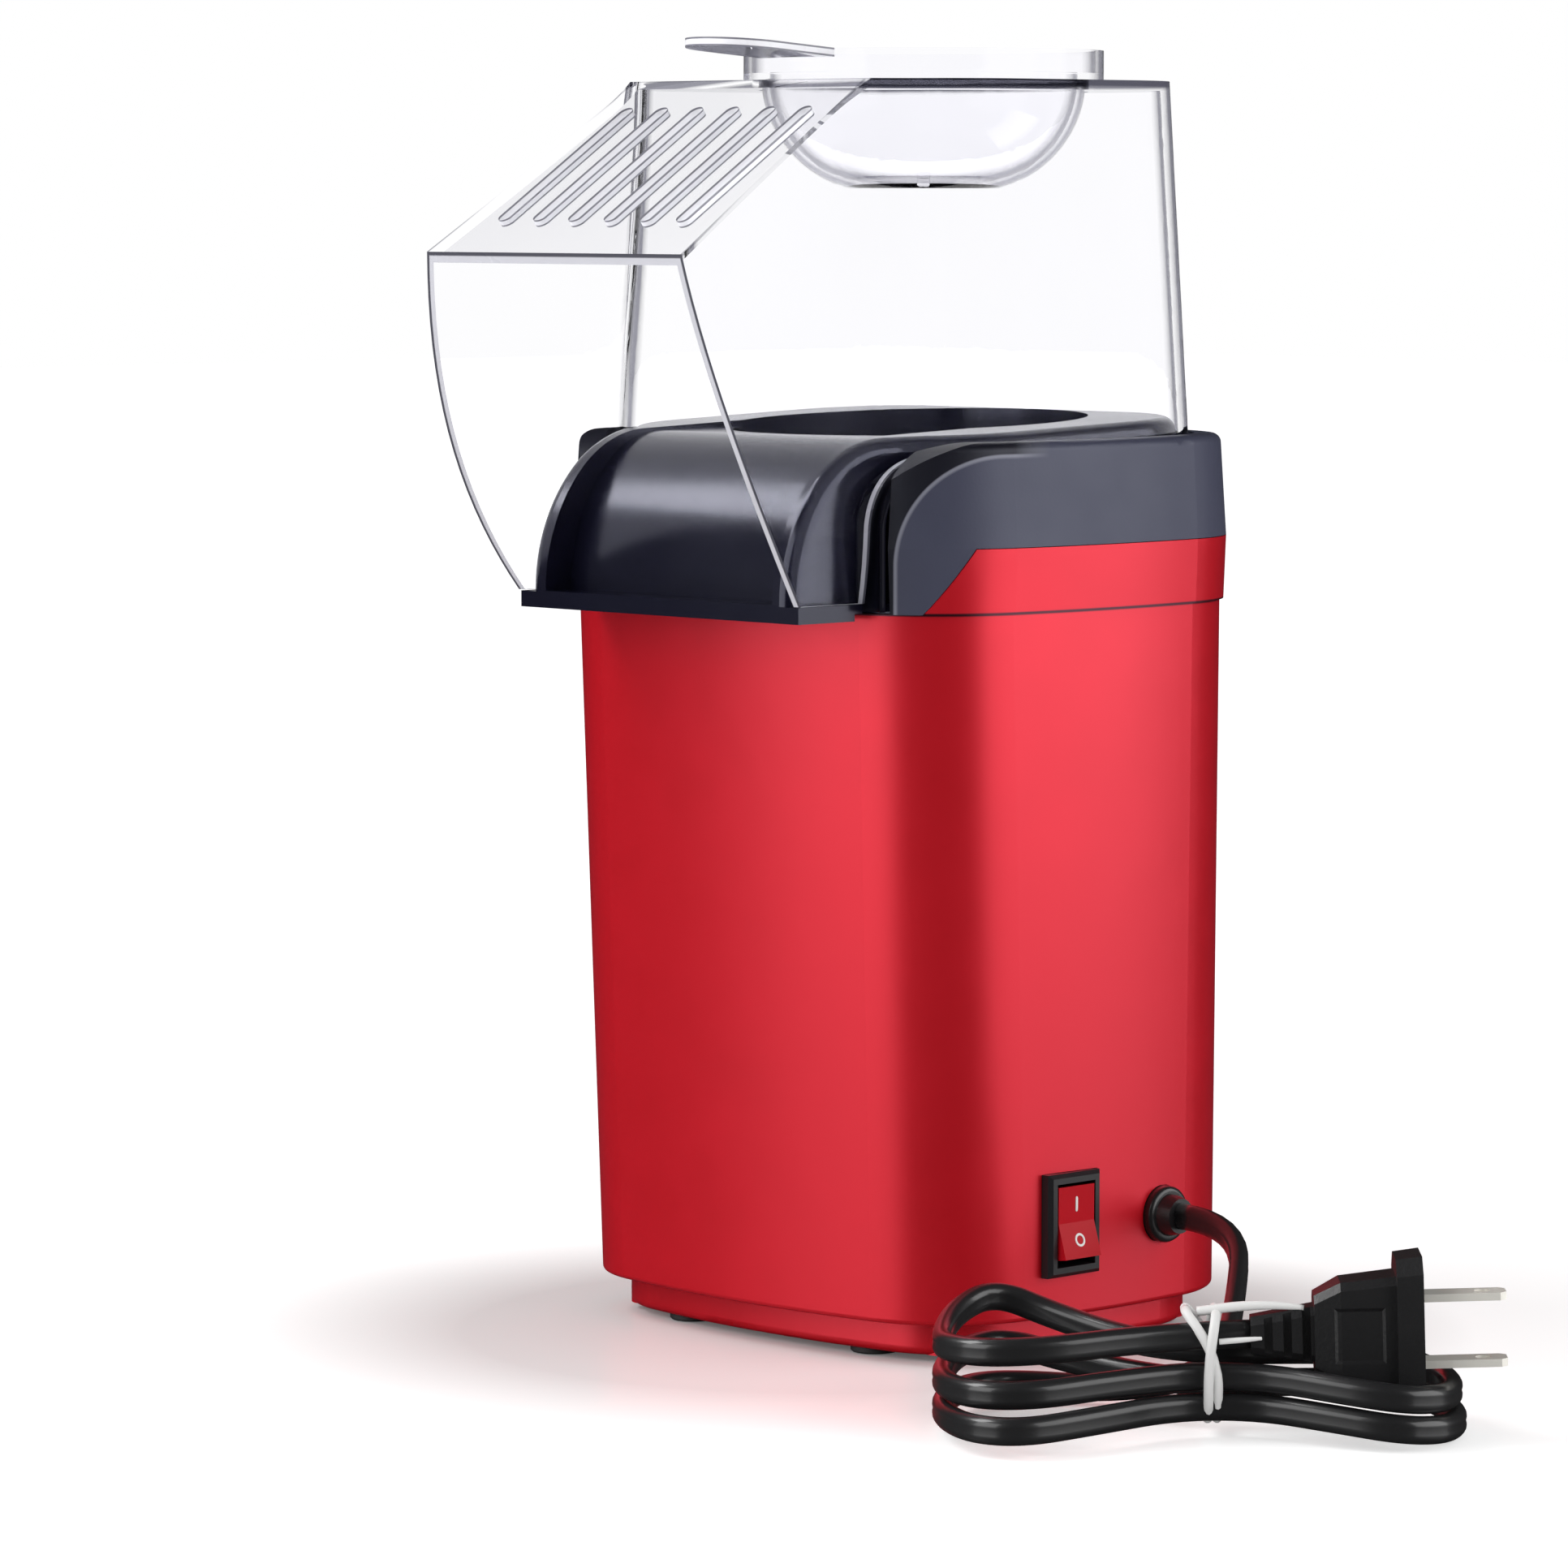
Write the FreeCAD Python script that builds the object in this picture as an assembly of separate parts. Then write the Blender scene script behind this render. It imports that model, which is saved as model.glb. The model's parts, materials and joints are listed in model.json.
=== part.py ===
import FreeCAD, Part
import math
import os

# Hot-air popcorn maker, sizes in millimetres.
# While it is drawn, z = 0 is the floor, the front faces -Y and the axis of the measuring cup is x = y = 0.
# On export all pieces are shifted along Y, so that the origin is below the middle of the machine.

V = FreeCAD.Vector
UP = V(0, 0, 1)

# Body plan, measured from the cup axis
BODY_TOP_HALF_WIDTH = 61.5
BODY_TOP_FRONT = 59.5
BODY_FOOT_HALF_WIDTH = 60.0
BODY_FOOT_FRONT = 54.3
BODY_REAR = 45.3
FRONT_CORNER_R = 26.0
REAR_CORNER_R = 30.0
FRONT_BOW_R = 230.0
SIDE_BOW_R = 200.0
REAR_BOW_R = 450.0
BODY_WALL = 2.4

# Heights, each piece standing on the one below
FOOT_GAP = 1.2
BASE_HEIGHT = 7.1
BODY_HEIGHT = 143.2
BAND_HEIGHT = 13.0
COLLAR_HEIGHT = 34.0
RIM_DEPTH = 5.5
SEAT_PLATE = 2.7
DECK_RISE = 6.6
CREST_RISE = 3.6
HOOD_HEIGHT = 74.6

# Clearances
FIT = 0.2
TONGUE_FIT = 0.35
REST_GAP = 0.2
SLIDE_GAP = 0.5
RUN_FIT = 0.05
SEAM_GAP = 0.15

# Base, feet and screws
BASE_INSET = 6.0
BASE_WALL = 2.2
BASE_FLOOR = 2.5
BASE_ROUND = 1.8
BODY_ROUND = 1.0
FLOOR_RING = 2.4
RIM_WALL = 1.6
RIM_RISE = 3.0
FOOT_R = 5.0
FOOT_POCKET = 1.0
FRONT_FOOT = (27.0, -40.3)
REAR_FOOT = (29.0, 31.5)
BOSS_R = 4.2
BOSS_INSET = 11.0
BOSS_HEIGHT = 14.0
POST_R = 5.0
SCREW_R = 1.5
SCREW_LENGTH = 12.0
HEAD_R = 2.8
HEAD_HEIGHT = 1.8
HEAD_RECESS = 1.0
INTAKE_SLOTS = 18
INTAKE_INNER = 15.0
INTAKE_OUTER = 31.0
INTAKE_WIDTH = 3.0

# Collar and its red band
COLLAR_WALL = 2.4
PROUD_AT_SEAM = 0.8
PROUD_AT_BAND = 1.3
RIM_WIDTH = 5.4
RIM_ROUND = 2.0
FLANGE_T = 2.5
FLANGE_FRONT = 46.0
TONGUE_T = 1.8
TONGUE_DEPTH = 8.0
WEB_HEIGHT = 3.0
COLLAR_GAP_SIDE = 4.6
SWEEP_FRONT = 58.5
SWEEP_R = 19.0
BAND_FOOT_Y = -51.0
BAND_TOP_Y = -43.0

# Throat, deck and spout
CHAMBER_Y = -4.0
THROAT_R = 37.0
THROAT_WALL = 2.2
DECK_SKIN = 2.5
CHUTE_SCREW_ROWS = (-14.0, 18.0)
SPOUT_SIDE = 20.5
SPOUT_REACH = 75.5
NOSE_DROP = 1.3
LIP_HEIGHT = 3.5
LIP_LEDGE = 7.0
CHEEK_WIDTH = 5.0
CHEEK_RISE = 0.5
CREST_Y = -47.0
FLOOR_CREST_Y = -44.0
DECK_ROUND = 3.0
CHUTE_WALL = 2.4
FLARE_FRONT = 58.0
FLARE_REAR = 24.0
VALLEY_FRONT = 60.0
VALLEY_REAR = 36.0
VALLEY_SIDE = 5.5

# Hood
HOOD_WALL = 2.0
HOOD_SIDE = 7.0
HOOD_REAR = 38.3
HOOD_CORNER_R = 26.0
HOOD_DRAFT = 0.041
SPOUT_WAIST_OUT = 1.6
SPOUT_VISOR_IN = 3.4
SPOUT_TOP_IN = 7.2
VISOR_REACH = 103.5
VISOR_DROP = 34.5
SLOPE_TOP = 50.0
MOUTH_BULGE = 4.5
HOOD_SWEEP_R = 15.0
VENT_COUNT = 6
VENT_MARGIN = 7.55
VENT_WIDTH = 3.4
VENT_LENGTH = 42.0
VENT_CENTRE = 32.6

# Measuring cup
CUP_RIM_R = 37.3
CUP_RIM_HEIGHT = 6.3
CUP_BOWL_R = 33.5
CUP_FLOOR_R = 16.0
CUP_DEPTH = 22.0
CUP_SAG = 4.6
CUP_WALL = 1.6
CUP_NUB_R = 1.3
HANDLE_REACH = 63.5
HANDLE_HALF_WIDTH = 11.0
HANDLE_RISE = 2.0
HANDLE_T = 1.8

# Popping chamber, duct and heater
CHAMBER_WALL = 1.2
CHAMBER_DEPTH = 88.0
CHAMBER_ROUND = 9.0
CHAMBER_CONE_R = 14.0
CHAMBER_CONE_RISE = 5.0
CHAMBER_FLANGE = 3.2
SEAL_T = 1.6
LOUVRES = 18
LOUVRE_LENGTH = 11.0
LOUVRE_WIDTH = 1.6
LOUVRE_LEAN = 35.0
DUCT_GAP = 2.0
DUCT_WALL = 1.8
DUCT_FOOT = 40.0
DUCT_LAP = 24.0
DUCT_LEDGE = 2.0
LEG_WIDTH = 9.0
LEG_ANGLES = (45, 135, 225, 315)
CARD_T = 0.8
CARD_HEIGHT = 17.0
CARD_GAP = 0.4
COIL_R = 29.0
COIL_WIRE_R = 1.1
COIL_TURNS = 3
COIL_PITCH = 4.5
COIL_STEPS = 6
HEATER_GAP = 4.0
NOTCH_GAP = 0.5
THERMOSTAT_R = 7.5
THERMOSTAT_T = 6.0
THERMOSTAT_Z = 88.0
PAD_T = 2.0
FUSE_R = 2.0
FUSE_LENGTH = 11.0
FUSE_ANGLE = 205.0
FUSE_Z = 70.0

# Motor and fan
MOTOR_R = 13.8
MOTOR_LENGTH = 28.0
END_CAP_HEIGHT = 5.0
BOARD_R = 11.0
BOARD_T = 1.6
DIODE_R = 1.35
DIODE_LENGTH = 5.2
SHAFT_R = 1.15
SHAFT_DEPTH = 18.0
MOUNT_T = 2.5
MOUNT_ARM = 8.0
MOUNT_RIM = 2.5
MOUNT_HUB_R = 16.0
BUSH_R = 3.2
BUSH_HEIGHT = 2.2
MOTOR_SCREW_R = 1.25
MOTOR_SCREW_PITCH = 8.0
FAN_HUB_R = 8.0
FAN_HEIGHT = 11.0
FAN_BLADES = 7
FAN_TIP_GAP = 1.2
FAN_LEAN = 38.0
FAN_BLADE_T = 1.4
FAN_GAP = 4.0

# Rocker switch, on the right side
SWITCH_Y = -17.5
SWITCH_Z = 27.4
BEZEL_HEIGHT = 21.0
BEZEL_WIDTH = 15.0
BEZEL_PROUD = 2.0
BEZEL_SUNK = 0.6
BEZEL_FRAME = 2.0
BEZEL_CHAMFER = 0.8
SWITCH_BODY_HEIGHT = 18.4
SWITCH_BODY_WIDTH = 12.6
SWITCH_BODY_DEPTH = 13.0
SWITCH_WELL = 9.0
ROCKER_GAP = 0.35
ROCKER_HALF = 7.3
ROCKER_DISH = 1.1
ROCKER_PROUD = 1.6
ROCKER_THROW = 16.0
ROCKER_HUB_R = 2.6
PIN_R = 1.0
PIN_SUNK = 3.2
TERMINAL_WIDTH = 4.8
TERMINAL_T = 0.8
TERMINAL_LENGTH = 5.0
TERMINAL_PITCH = 9.0

# Mains lead: strain relief, cord, tie and plug
GLAND_Y = 10.0
GLAND_Z = 26.4
GLAND_FLANGE_R = 5.8
GLAND_FLANGE_T = 3.0
GLAND_NECK_R = 4.4
GLAND_NOSE_R = 3.6
GLAND_NOSE = 3.0
GLAND_TAIL = 7.0
CORD_R = 2.4
LEAD_R = 1.1
LIVE_RUN = 8.0
LIVE_REACH = 12.0
LIVE_SIDE = 14.0
SWITCHED_RUN = (6.0, 10.0, 0.0)
SWITCHED_ROUTE = ((36.0, -36.0, 0.0), (10.0, -43.0, 0.0), (-22.0, -41.0, 2.0), (-48.0, -20.0, 8.0))
SWITCHED_RISE = 30.0
SWITCHED_END = (2.0, 4.0)
CORD_FIRST_RUN = 17.0
CORD_LAST_RUN = 20.0
CORD_BENDS = ((99.0, -11.0, 13.0), (112.0, -30.0, 5.2))
HANK_CENTRE = V(134.6, -56.3, 3.7)
HANK_ALONG = V(1, 1, 0).normalize()
HANK_TOWARD = V(1, -1, 0).normalize()
HANK_LEFT = 52.0
HANK_LEFT_NEAR = (58.0, -28.0)
HANK_LEFT_FAR = (56.0, -12.0)
HANK_RIGHT = (47.5, -2.0)
HANK_RIGHT_BELLY = (38.0, -2.0)
HANK_WAIST = 3.3
HANK_PITCH = 5.5
HANK_LIFT = 2.4
HANK_DROOP = (4.2, 0.6)
HANK_FAN = 45.0
HANK_START = 135.0
HANK_END = 990.0
HANK_STEPS = 8
TIE_T = 0.9
TIE_WIDTH = 2.6
TIE_TAIL = 9.0
PLUG_GAP = 7.0
PLUG_TAIL_LENGTH = 12.0
PLUG_BODY_LENGTH = 15.5
PLUG_FLANGE_T = 5.0
PLUG_FLANGE_HEIGHT = 28.5
PLUG_FLANGE_WIDTH = 16.0
PLUG_BODY_HEIGHT = 20.0
PLUG_BODY_WIDTH = 12.0
BLADE_PITCH = 12.7
BLADE_T = 1.5
BLADE_WIDTH = 6.3
BLADE_LENGTH = 16.0
BLADE_HOLE_R = 1.5

# Levels that follow from the heights
Z_BODY = FOOT_GAP + BASE_HEIGHT
Z_FLOOR = FOOT_GAP + BASE_FLOOR
Z_SEAM = Z_BODY + BODY_HEIGHT
Z_BAND = Z_SEAM + BAND_HEIGHT
Z_RIM = Z_SEAM + COLLAR_HEIGHT
Z_FLANGE = Z_RIM - RIM_DEPTH
Z_SEAT = Z_FLANGE + SEAT_PLATE
Z_DECK = Z_SEAT + DECK_RISE
Z_CREST = Z_SEAT + CREST_RISE
Z_HOOD = Z_SEAT + REST_GAP
Z_TOP = Z_HOOD + HOOD_HEIGHT
Z_VISOR = Z_TOP - VISOR_DROP
Z_SPOUT = Z_SEAM + FIT
Z_NOSE = Z_SEAM - NOSE_DROP
Z_LIP = Z_NOSE + LIP_HEIGHT
CHAMBER_OUT_R = THROAT_R + CHAMBER_WALL
Z_CHAMBER_RIM = Z_FLANGE + SEAL_T
Z_CHAMBER = Z_CHAMBER_RIM - CHAMBER_DEPTH
DUCT_R = CHAMBER_OUT_R + DUCT_GAP
DUCT_OUT_R = DUCT_R + DUCT_WALL
Z_DUCT_TOP = Z_CHAMBER + DUCT_LAP
Z_CARD = Z_CHAMBER - HEATER_GAP - CARD_HEIGHT
Z_FAN_TOP = Z_CARD - DUCT_LEDGE - FAN_GAP
Z_FAN = Z_FAN_TOP - FAN_HEIGHT
Z_MOUNT = Z_FAN - FAN_GAP - BUSH_HEIGHT
Z_MOTOR = Z_MOUNT - MOTOR_LENGTH
Z_END_CAP = Z_MOTOR - END_CAP_HEIGHT
Z_BOARD = Z_END_CAP - BOARD_T
SLOPE = math.atan2(VISOR_DROP, VISOR_REACH - SLOPE_TOP)
HOOD_HALF_WIDTH = BODY_TOP_HALF_WIDTH - HOOD_SIDE
VALLEY_HALF = BODY_TOP_HALF_WIDTH - VALLEY_SIDE
SPOUT_HALF = BODY_TOP_HALF_WIDTH - SPOUT_SIDE
SPOUT_WAIST_HALF = SPOUT_HALF + SPOUT_WAIST_OUT
SPOUT_VISOR_HALF = SPOUT_HALF - SPOUT_VISOR_IN
SPOUT_TOP_HALF = SPOUT_HALF - SPOUT_TOP_IN
COLLAR_GAP_HALF = SPOUT_HALF + COLLAR_GAP_SIDE
VENT_PITCH = 2 * (SPOUT_TOP_HALF - VENT_MARGIN) / (VENT_COUNT - 1)
DECK_HALF_WIDTH = HOOD_HALF_WIDTH - HOOD_WALL - SLIDE_GAP
DECK_REAR = HOOD_REAR - HOOD_WALL - SLIDE_GAP
DECK_CORNER_R = HOOD_CORNER_R - HOOD_WALL
NOSE_HALF = SPOUT_HALF - HOOD_WALL - SLIDE_GAP
ROW_SHIFT = V(0, (VISOR_REACH - BODY_REAR - PROUD_AT_BAND) / 2, 0)


# Basic solids


def box(x0, x1, y0, y1, z0, z1):
    return Part.makeBox(x1 - x0, y1 - y0, z1 - z0, V(x0, y0, z0))


def rod(radius, start, end):
    return Part.makeCylinder(radius, (end - start).Length, start, end - start)


def upright(radius, x, y, z0, z1):
    return rod(radius, V(x, y, z0), V(x, y, z1))


def ring(outer_r, inner_r, y, z0, z1):
    return upright(outer_r, 0, y, z0, z1).cut(upright(inner_r, 0, y, z0, z1))


def fused(solids):
    return solids[0].multiFuse(solids[1:]).removeSplitter()


def prism(wire, height):
    return Part.Face(wire).extrude(V(0, 0, height))


def loft(wires, ruled=True):
    return Part.makeLoft(wires, True, ruled)


def trace(to_space, start, steps):
    """Closed wire from straight steps (an end point) and arc steps (a point on the arc, then its end)."""
    edges = []
    here = start
    for step in steps:
        if isinstance(step[0], tuple):
            middle, end = step
            edges.append(Part.Arc(to_space(here), to_space(middle), to_space(end)).toShape())
        else:
            end = step
            edges.append(Part.LineSegment(to_space(here), to_space(end)).toShape())
        here = end
    return Part.Wire(edges)


def side_slab(half_width, start, *steps):
    """Solid with a (y, z) side view, reaching half_width to both sides."""
    wire = trace(lambda p: V(-half_width, p[0], p[1]), start, steps)
    return Part.Face(wire).extrude(V(2 * half_width, 0, 0))


def turned(y, start, *steps):
    """Solid of revolution of an (r, z) profile about the upright line at y."""
    wire = trace(lambda p: V(p[0], y, p[1]), start, steps)
    return Part.Face(wire).revolve(V(0, y, 0), UP, 360)


def bulged(start, end, bulge):
    """Arc step from start to end whose middle stands off the chord by bulge, to the right of travel."""
    dy = end[0] - start[0]
    dz = end[1] - start[1]
    length = math.hypot(dy, dz)
    middle = ((start[0] + end[0]) / 2 + bulge * dz / length, (start[1] + end[1]) / 2 - bulge * dy / length)
    return (middle, end)


def level_edges(shape, z):
    return [e for e in shape.Edges if abs(e.BoundBox.ZMin - z) < 1e-3 and abs(e.BoundBox.ZMax - z) < 1e-3]


def spun(solid, angle, y):
    copy = solid.copy()
    copy.rotate(V(0, y, 0), UP, angle)
    return copy


# Plan outlines


def corner_centre(end_c, end_r, side_c, side_r):
    """Right-hand meeting point of two circles, where a corner arc has its centre."""
    span = side_c - end_c
    d = span.Length
    a = (end_r ** 2 - side_r ** 2 + d ** 2) / (2 * d)
    h = math.sqrt(end_r ** 2 - a ** 2)
    foot = end_c + span * (a / d)
    across = V(-span.y, span.x, 0) * (h / d)
    return max(foot + across, foot - across, key=lambda p: p.x)


def bows(half_width, front):
    """Centres of the front, side and rear bows of a body outline, right side."""
    front_c = V(0, FRONT_BOW_R - front, 0)
    side_c = V(half_width - SIDE_BOW_R, (BODY_REAR - front) / 2, 0)
    rear_c = V(0, BODY_REAR - REAR_BOW_R, 0)
    return front_c, side_c, rear_c


def corners(half_width, front):
    """Centres of the front and rear corner arcs, right side."""
    front_c, side_c, rear_c = bows(half_width, front)
    front_corner = corner_centre(
        front_c, FRONT_BOW_R - FRONT_CORNER_R, side_c, SIDE_BOW_R - FRONT_CORNER_R
    )
    rear_corner = corner_centre(rear_c, REAR_BOW_R - REAR_CORNER_R, side_c, SIDE_BOW_R - REAR_CORNER_R)
    return front_corner, rear_corner


def outline(half_width, front, inset, z):
    """Rounded body outline of bowed sides and tangent corners, drawn in by inset."""
    front_c, side_c, rear_c = bows(half_width, front)
    front_k, rear_k = corners(half_width, front)
    to_front = (front_k - front_c).normalize()
    to_side_f = (front_k - side_c).normalize()
    to_side_r = (rear_k - side_c).normalize()
    to_rear = (rear_k - rear_c).normalize()
    front_t = front_c + to_front * (FRONT_BOW_R - inset)
    front_m = front_k + (to_front + to_side_f).normalize() * (FRONT_CORNER_R - inset)
    side_f = side_c + to_side_f * (SIDE_BOW_R - inset)
    side_m = side_c + V(SIDE_BOW_R - inset, 0, 0)
    side_r = side_c + to_side_r * (SIDE_BOW_R - inset)
    rear_m = rear_k + (to_side_r + to_rear).normalize() * (REAR_CORNER_R - inset)
    rear_t = rear_c + to_rear * (REAR_BOW_R - inset)
    nose = (0, inset - front)
    tail = (0, BODY_REAR - inset)
    right = [(p.x, p.y) for p in (front_t, front_m, side_f, side_m, side_r, rear_m, rear_t)]
    left = [(-x, y) for x, y in reversed(right)]
    steps = [
        (nose, right[0]),
        (right[1], right[2]),
        (right[3], right[4]),
        (right[5], right[6]),
        (tail, left[0]),
        (left[1], left[2]),
        (left[3], left[4]),
        (left[5], left[6]),
    ]
    return trace(lambda p: V(p[0], p[1], z), left[6], steps)


def body_top(inset, z):
    return outline(BODY_TOP_HALF_WIDTH, BODY_TOP_FRONT, inset, z)


def body_foot(inset, z):
    return outline(BODY_FOOT_HALF_WIDTH, BODY_FOOT_FRONT, inset, z)


def side_x(y, z):
    """Outer face of the body's right side at a height."""
    share = (z - Z_BODY) / BODY_HEIGHT
    half = BODY_FOOT_HALF_WIDTH + (BODY_TOP_HALF_WIDTH - BODY_FOOT_HALF_WIDTH) * share
    front = BODY_FOOT_FRONT + (BODY_TOP_FRONT - BODY_FOOT_FRONT) * share
    side_c = bows(half, front)[1]
    return side_c.x + math.sqrt(SIDE_BOW_R ** 2 - (y - side_c.y) ** 2)


def bottle(spout, half, rear, corner_r, flare, front, inset, z):
    """Plan like a bottle on its side: a spout, an S-shaped flare on each side and a round-cornered rear."""
    y_a = -flare[0]
    y_b = -flare[1]
    r = ((half - spout) ** 2 + (y_b - y_a) ** 2) / (4 * (half - spout))
    turn = math.asin((y_b - y_a) / (2 * r))
    r_a = r + inset
    r_b = r - inset
    c_a = (spout + r, y_a)
    c_b = (half - r, y_b)

    def on_a(angle):
        return (c_a[0] - r_a * math.cos(angle), c_a[1] + r_a * math.sin(angle))

    def on_b(angle):
        return (c_b[0] + r_b * math.cos(angle), c_b[1] - r_b * math.sin(angle))

    c_k = (half - corner_r, rear - corner_r)
    r_k = corner_r - inset
    on_k = (c_k[0] + r_k * math.sqrt(0.5), c_k[1] + r_k * math.sqrt(0.5))
    right = [
        (spout - inset, -front),
        (spout - inset, y_a),
        on_a(turn / 2),
        on_a(turn),
        on_b(turn / 2),
        (half - inset, y_b),
        (half - inset, c_k[1]),
        on_k,
        (c_k[0], rear - inset),
    ]
    left = [(-x, y) for x, y in right]
    steps = [
        right[0],
        right[1],
        (right[2], right[3]),
        (right[4], right[5]),
        right[6],
        (right[7], right[8]),
        left[8],
        (left[7], left[6]),
        left[5],
        (left[4], left[3]),
        (left[2], left[1]),
        left[0],
    ]
    return trace(lambda p: V(p[0], p[1], z), left[0], steps)


def four_ways(point):
    """The same place in front, behind, left and right, from a front and a rear point of the right side."""
    return [(side * p[0], p[1]) for p in point for side in (-1, 1)]


def boss_places():
    front_k, rear_k = corners(BODY_FOOT_HALF_WIDTH, BODY_FOOT_FRONT)
    f = (FRONT_CORNER_R - BOSS_INSET) * math.sqrt(0.5)
    r = (REAR_CORNER_R - BOSS_INSET) * math.sqrt(0.5)
    return four_ways([(front_k.x + f, front_k.y - f), (rear_k.x + r, rear_k.y + r)])


def foot_places():
    return four_ways([FRONT_FOOT, REAR_FOOT])


# Housing


def make_body_shell():
    outer = loft([body_foot(0, Z_BODY), body_top(0, Z_SEAM)])
    outer = outer.makeFillet(BODY_ROUND, level_edges(outer, Z_BODY))
    inner = loft([body_foot(BODY_WALL, Z_BODY), body_top(BODY_WALL, Z_SEAM)])
    floor = prism(body_foot(BODY_WALL / 2, Z_BODY), FLOOR_RING).common(outer)
    floor = floor.cut(prism(body_foot(BASE_INSET + BASE_WALL, Z_BODY), FLOOR_RING))
    bosses = [upright(BOSS_R, x, y, Z_BODY, Z_BODY + BOSS_HEIGHT) for x, y in boss_places()]
    shell = fused([outer.cut(inner), floor] + bosses)
    for x, y in boss_places():
        shell = shell.cut(upright(SCREW_R + RUN_FIT, x, y, Z_BODY, Z_BODY + SCREW_LENGTH))
    return shell.cut(switch_opening()).cut(gland_opening())


def screw_seat_z():
    return FOOT_GAP + HEAD_RECESS + HEAD_HEIGHT


def make_base_plate():
    plate = prism(body_foot(BASE_INSET, FOOT_GAP), BASE_HEIGHT)
    plate = plate.makeFillet(BASE_ROUND, level_edges(plate, FOOT_GAP))
    plate = plate.cut(prism(body_foot(BASE_INSET + BASE_WALL, Z_FLOOR), BASE_HEIGHT))
    rise = Z_BODY + RIM_RISE - Z_FLOOR
    rim = prism(body_foot(BASE_INSET + BASE_WALL + FIT, Z_FLOOR), rise)
    rim = rim.cut(prism(body_foot(BASE_INSET + BASE_WALL + FIT + RIM_WALL, Z_FLOOR), rise))
    for x, y in boss_places():
        rim = rim.cut(upright(BOSS_R + FIT, x, y, Z_BODY, Z_BODY + BOSS_HEIGHT))
    posts = [upright(POST_R, x, y, FOOT_GAP, Z_BODY) for x, y in boss_places()]
    plate = fused([plate, rim] + posts)
    for x, y in boss_places():
        plate = plate.cut(upright(SCREW_R + FIT, x, y, 0, Z_BODY))
        plate = plate.cut(upright(HEAD_R + FIT, x, y, 0, screw_seat_z()))
    for x, y in foot_places():
        plate = plate.cut(upright(FOOT_R + FIT, x, y, 0, FOOT_GAP + FOOT_POCKET))
    for x, y in leg_places():
        plate = plate.cut(upright(SCREW_R + FIT, x, y, 0, Z_FLOOR))
        plate = plate.cut(upright(HEAD_R + FIT, x, y, 0, FOOT_GAP + HEAD_RECESS))
    half = INTAKE_WIDTH / 2
    slot = box(INTAKE_INNER, INTAKE_OUTER, CHAMBER_Y - half, CHAMBER_Y + half, 0, Z_FLOOR)
    for i in range(INTAKE_SLOTS):
        plate = plate.cut(spun(slot, (i + 0.5) * 360 / INTAKE_SLOTS, CHAMBER_Y))
    return plate


def make_foot(x, y):
    foot = upright(FOOT_R, x, y, 0, FOOT_GAP + FOOT_POCKET)
    return foot.makeChamfer(FOOT_GAP / 4, level_edges(foot, 0))


def screw(x, y, seat_z, length, shank_r, head_r, head_h):
    """Cross-recessed pan head screw driven upwards, with its head below seat_z."""
    head = upright(head_r, x, y, seat_z - head_h, seat_z)
    cross_w = head_r / 4
    reach = head_r * 0.6
    low = seat_z - head_h
    head = head.cut(box(x - reach, x + reach, y - cross_w, y + cross_w, low, low + head_h / 2))
    head = head.cut(box(x - cross_w, x + cross_w, y - reach, y + reach, low, low + head_h / 2))
    return head.fuse(upright(shank_r, x, y, seat_z, seat_z + length))


def make_base_screws():
    length = Z_BODY + SCREW_LENGTH - 1 - screw_seat_z()
    seat = screw_seat_z()
    places = boss_places()
    return Part.makeCompound([screw(x, y, seat, length, SCREW_R, HEAD_R, HEAD_HEIGHT) for x, y in places])


# Collar


def collar_levels(wall):
    return [
        body_top(wall - PROUD_AT_SEAM, Z_SEAM),
        body_top(wall - PROUD_AT_BAND, Z_BAND),
        body_top(wall, Z_RIM),
    ]


def band_region(gap):
    """Block behind the slanted front ends of the red band."""
    far = BODY_REAR + 20
    return side_slab(
        BODY_TOP_HALF_WIDTH + 20,
        (BAND_FOOT_Y - gap, Z_SEAM),
        (BAND_TOP_Y - gap, Z_BAND + gap),
        (far, Z_BAND + gap),
        (far, Z_SEAM),
        (BAND_FOOT_Y - gap, Z_SEAM),
    )


def sweep_region(front, radius, top, foot):
    """Block in front of an edge that runs level at top, sweeps round and drops at the front."""
    centre = (-front + radius, top - radius)
    half = math.sqrt(0.5) * radius
    far = -VISOR_REACH - 30
    return side_slab(
        BODY_TOP_HALF_WIDTH + 20,
        (-front, foot),
        (-front, centre[1]),
        ((centre[0] - half, centre[1] + half), (centre[0], top)),
        (centre[0], top + 40),
        (far, top + 40),
        (far, foot),
        (-front, foot),
    )


def collar_wall():
    outer = loft(collar_levels(0))
    outer = outer.makeFillet(RIM_ROUND, level_edges(outer, Z_RIM))
    return outer, outer.cut(loft(collar_levels(COLLAR_WALL)))


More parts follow.
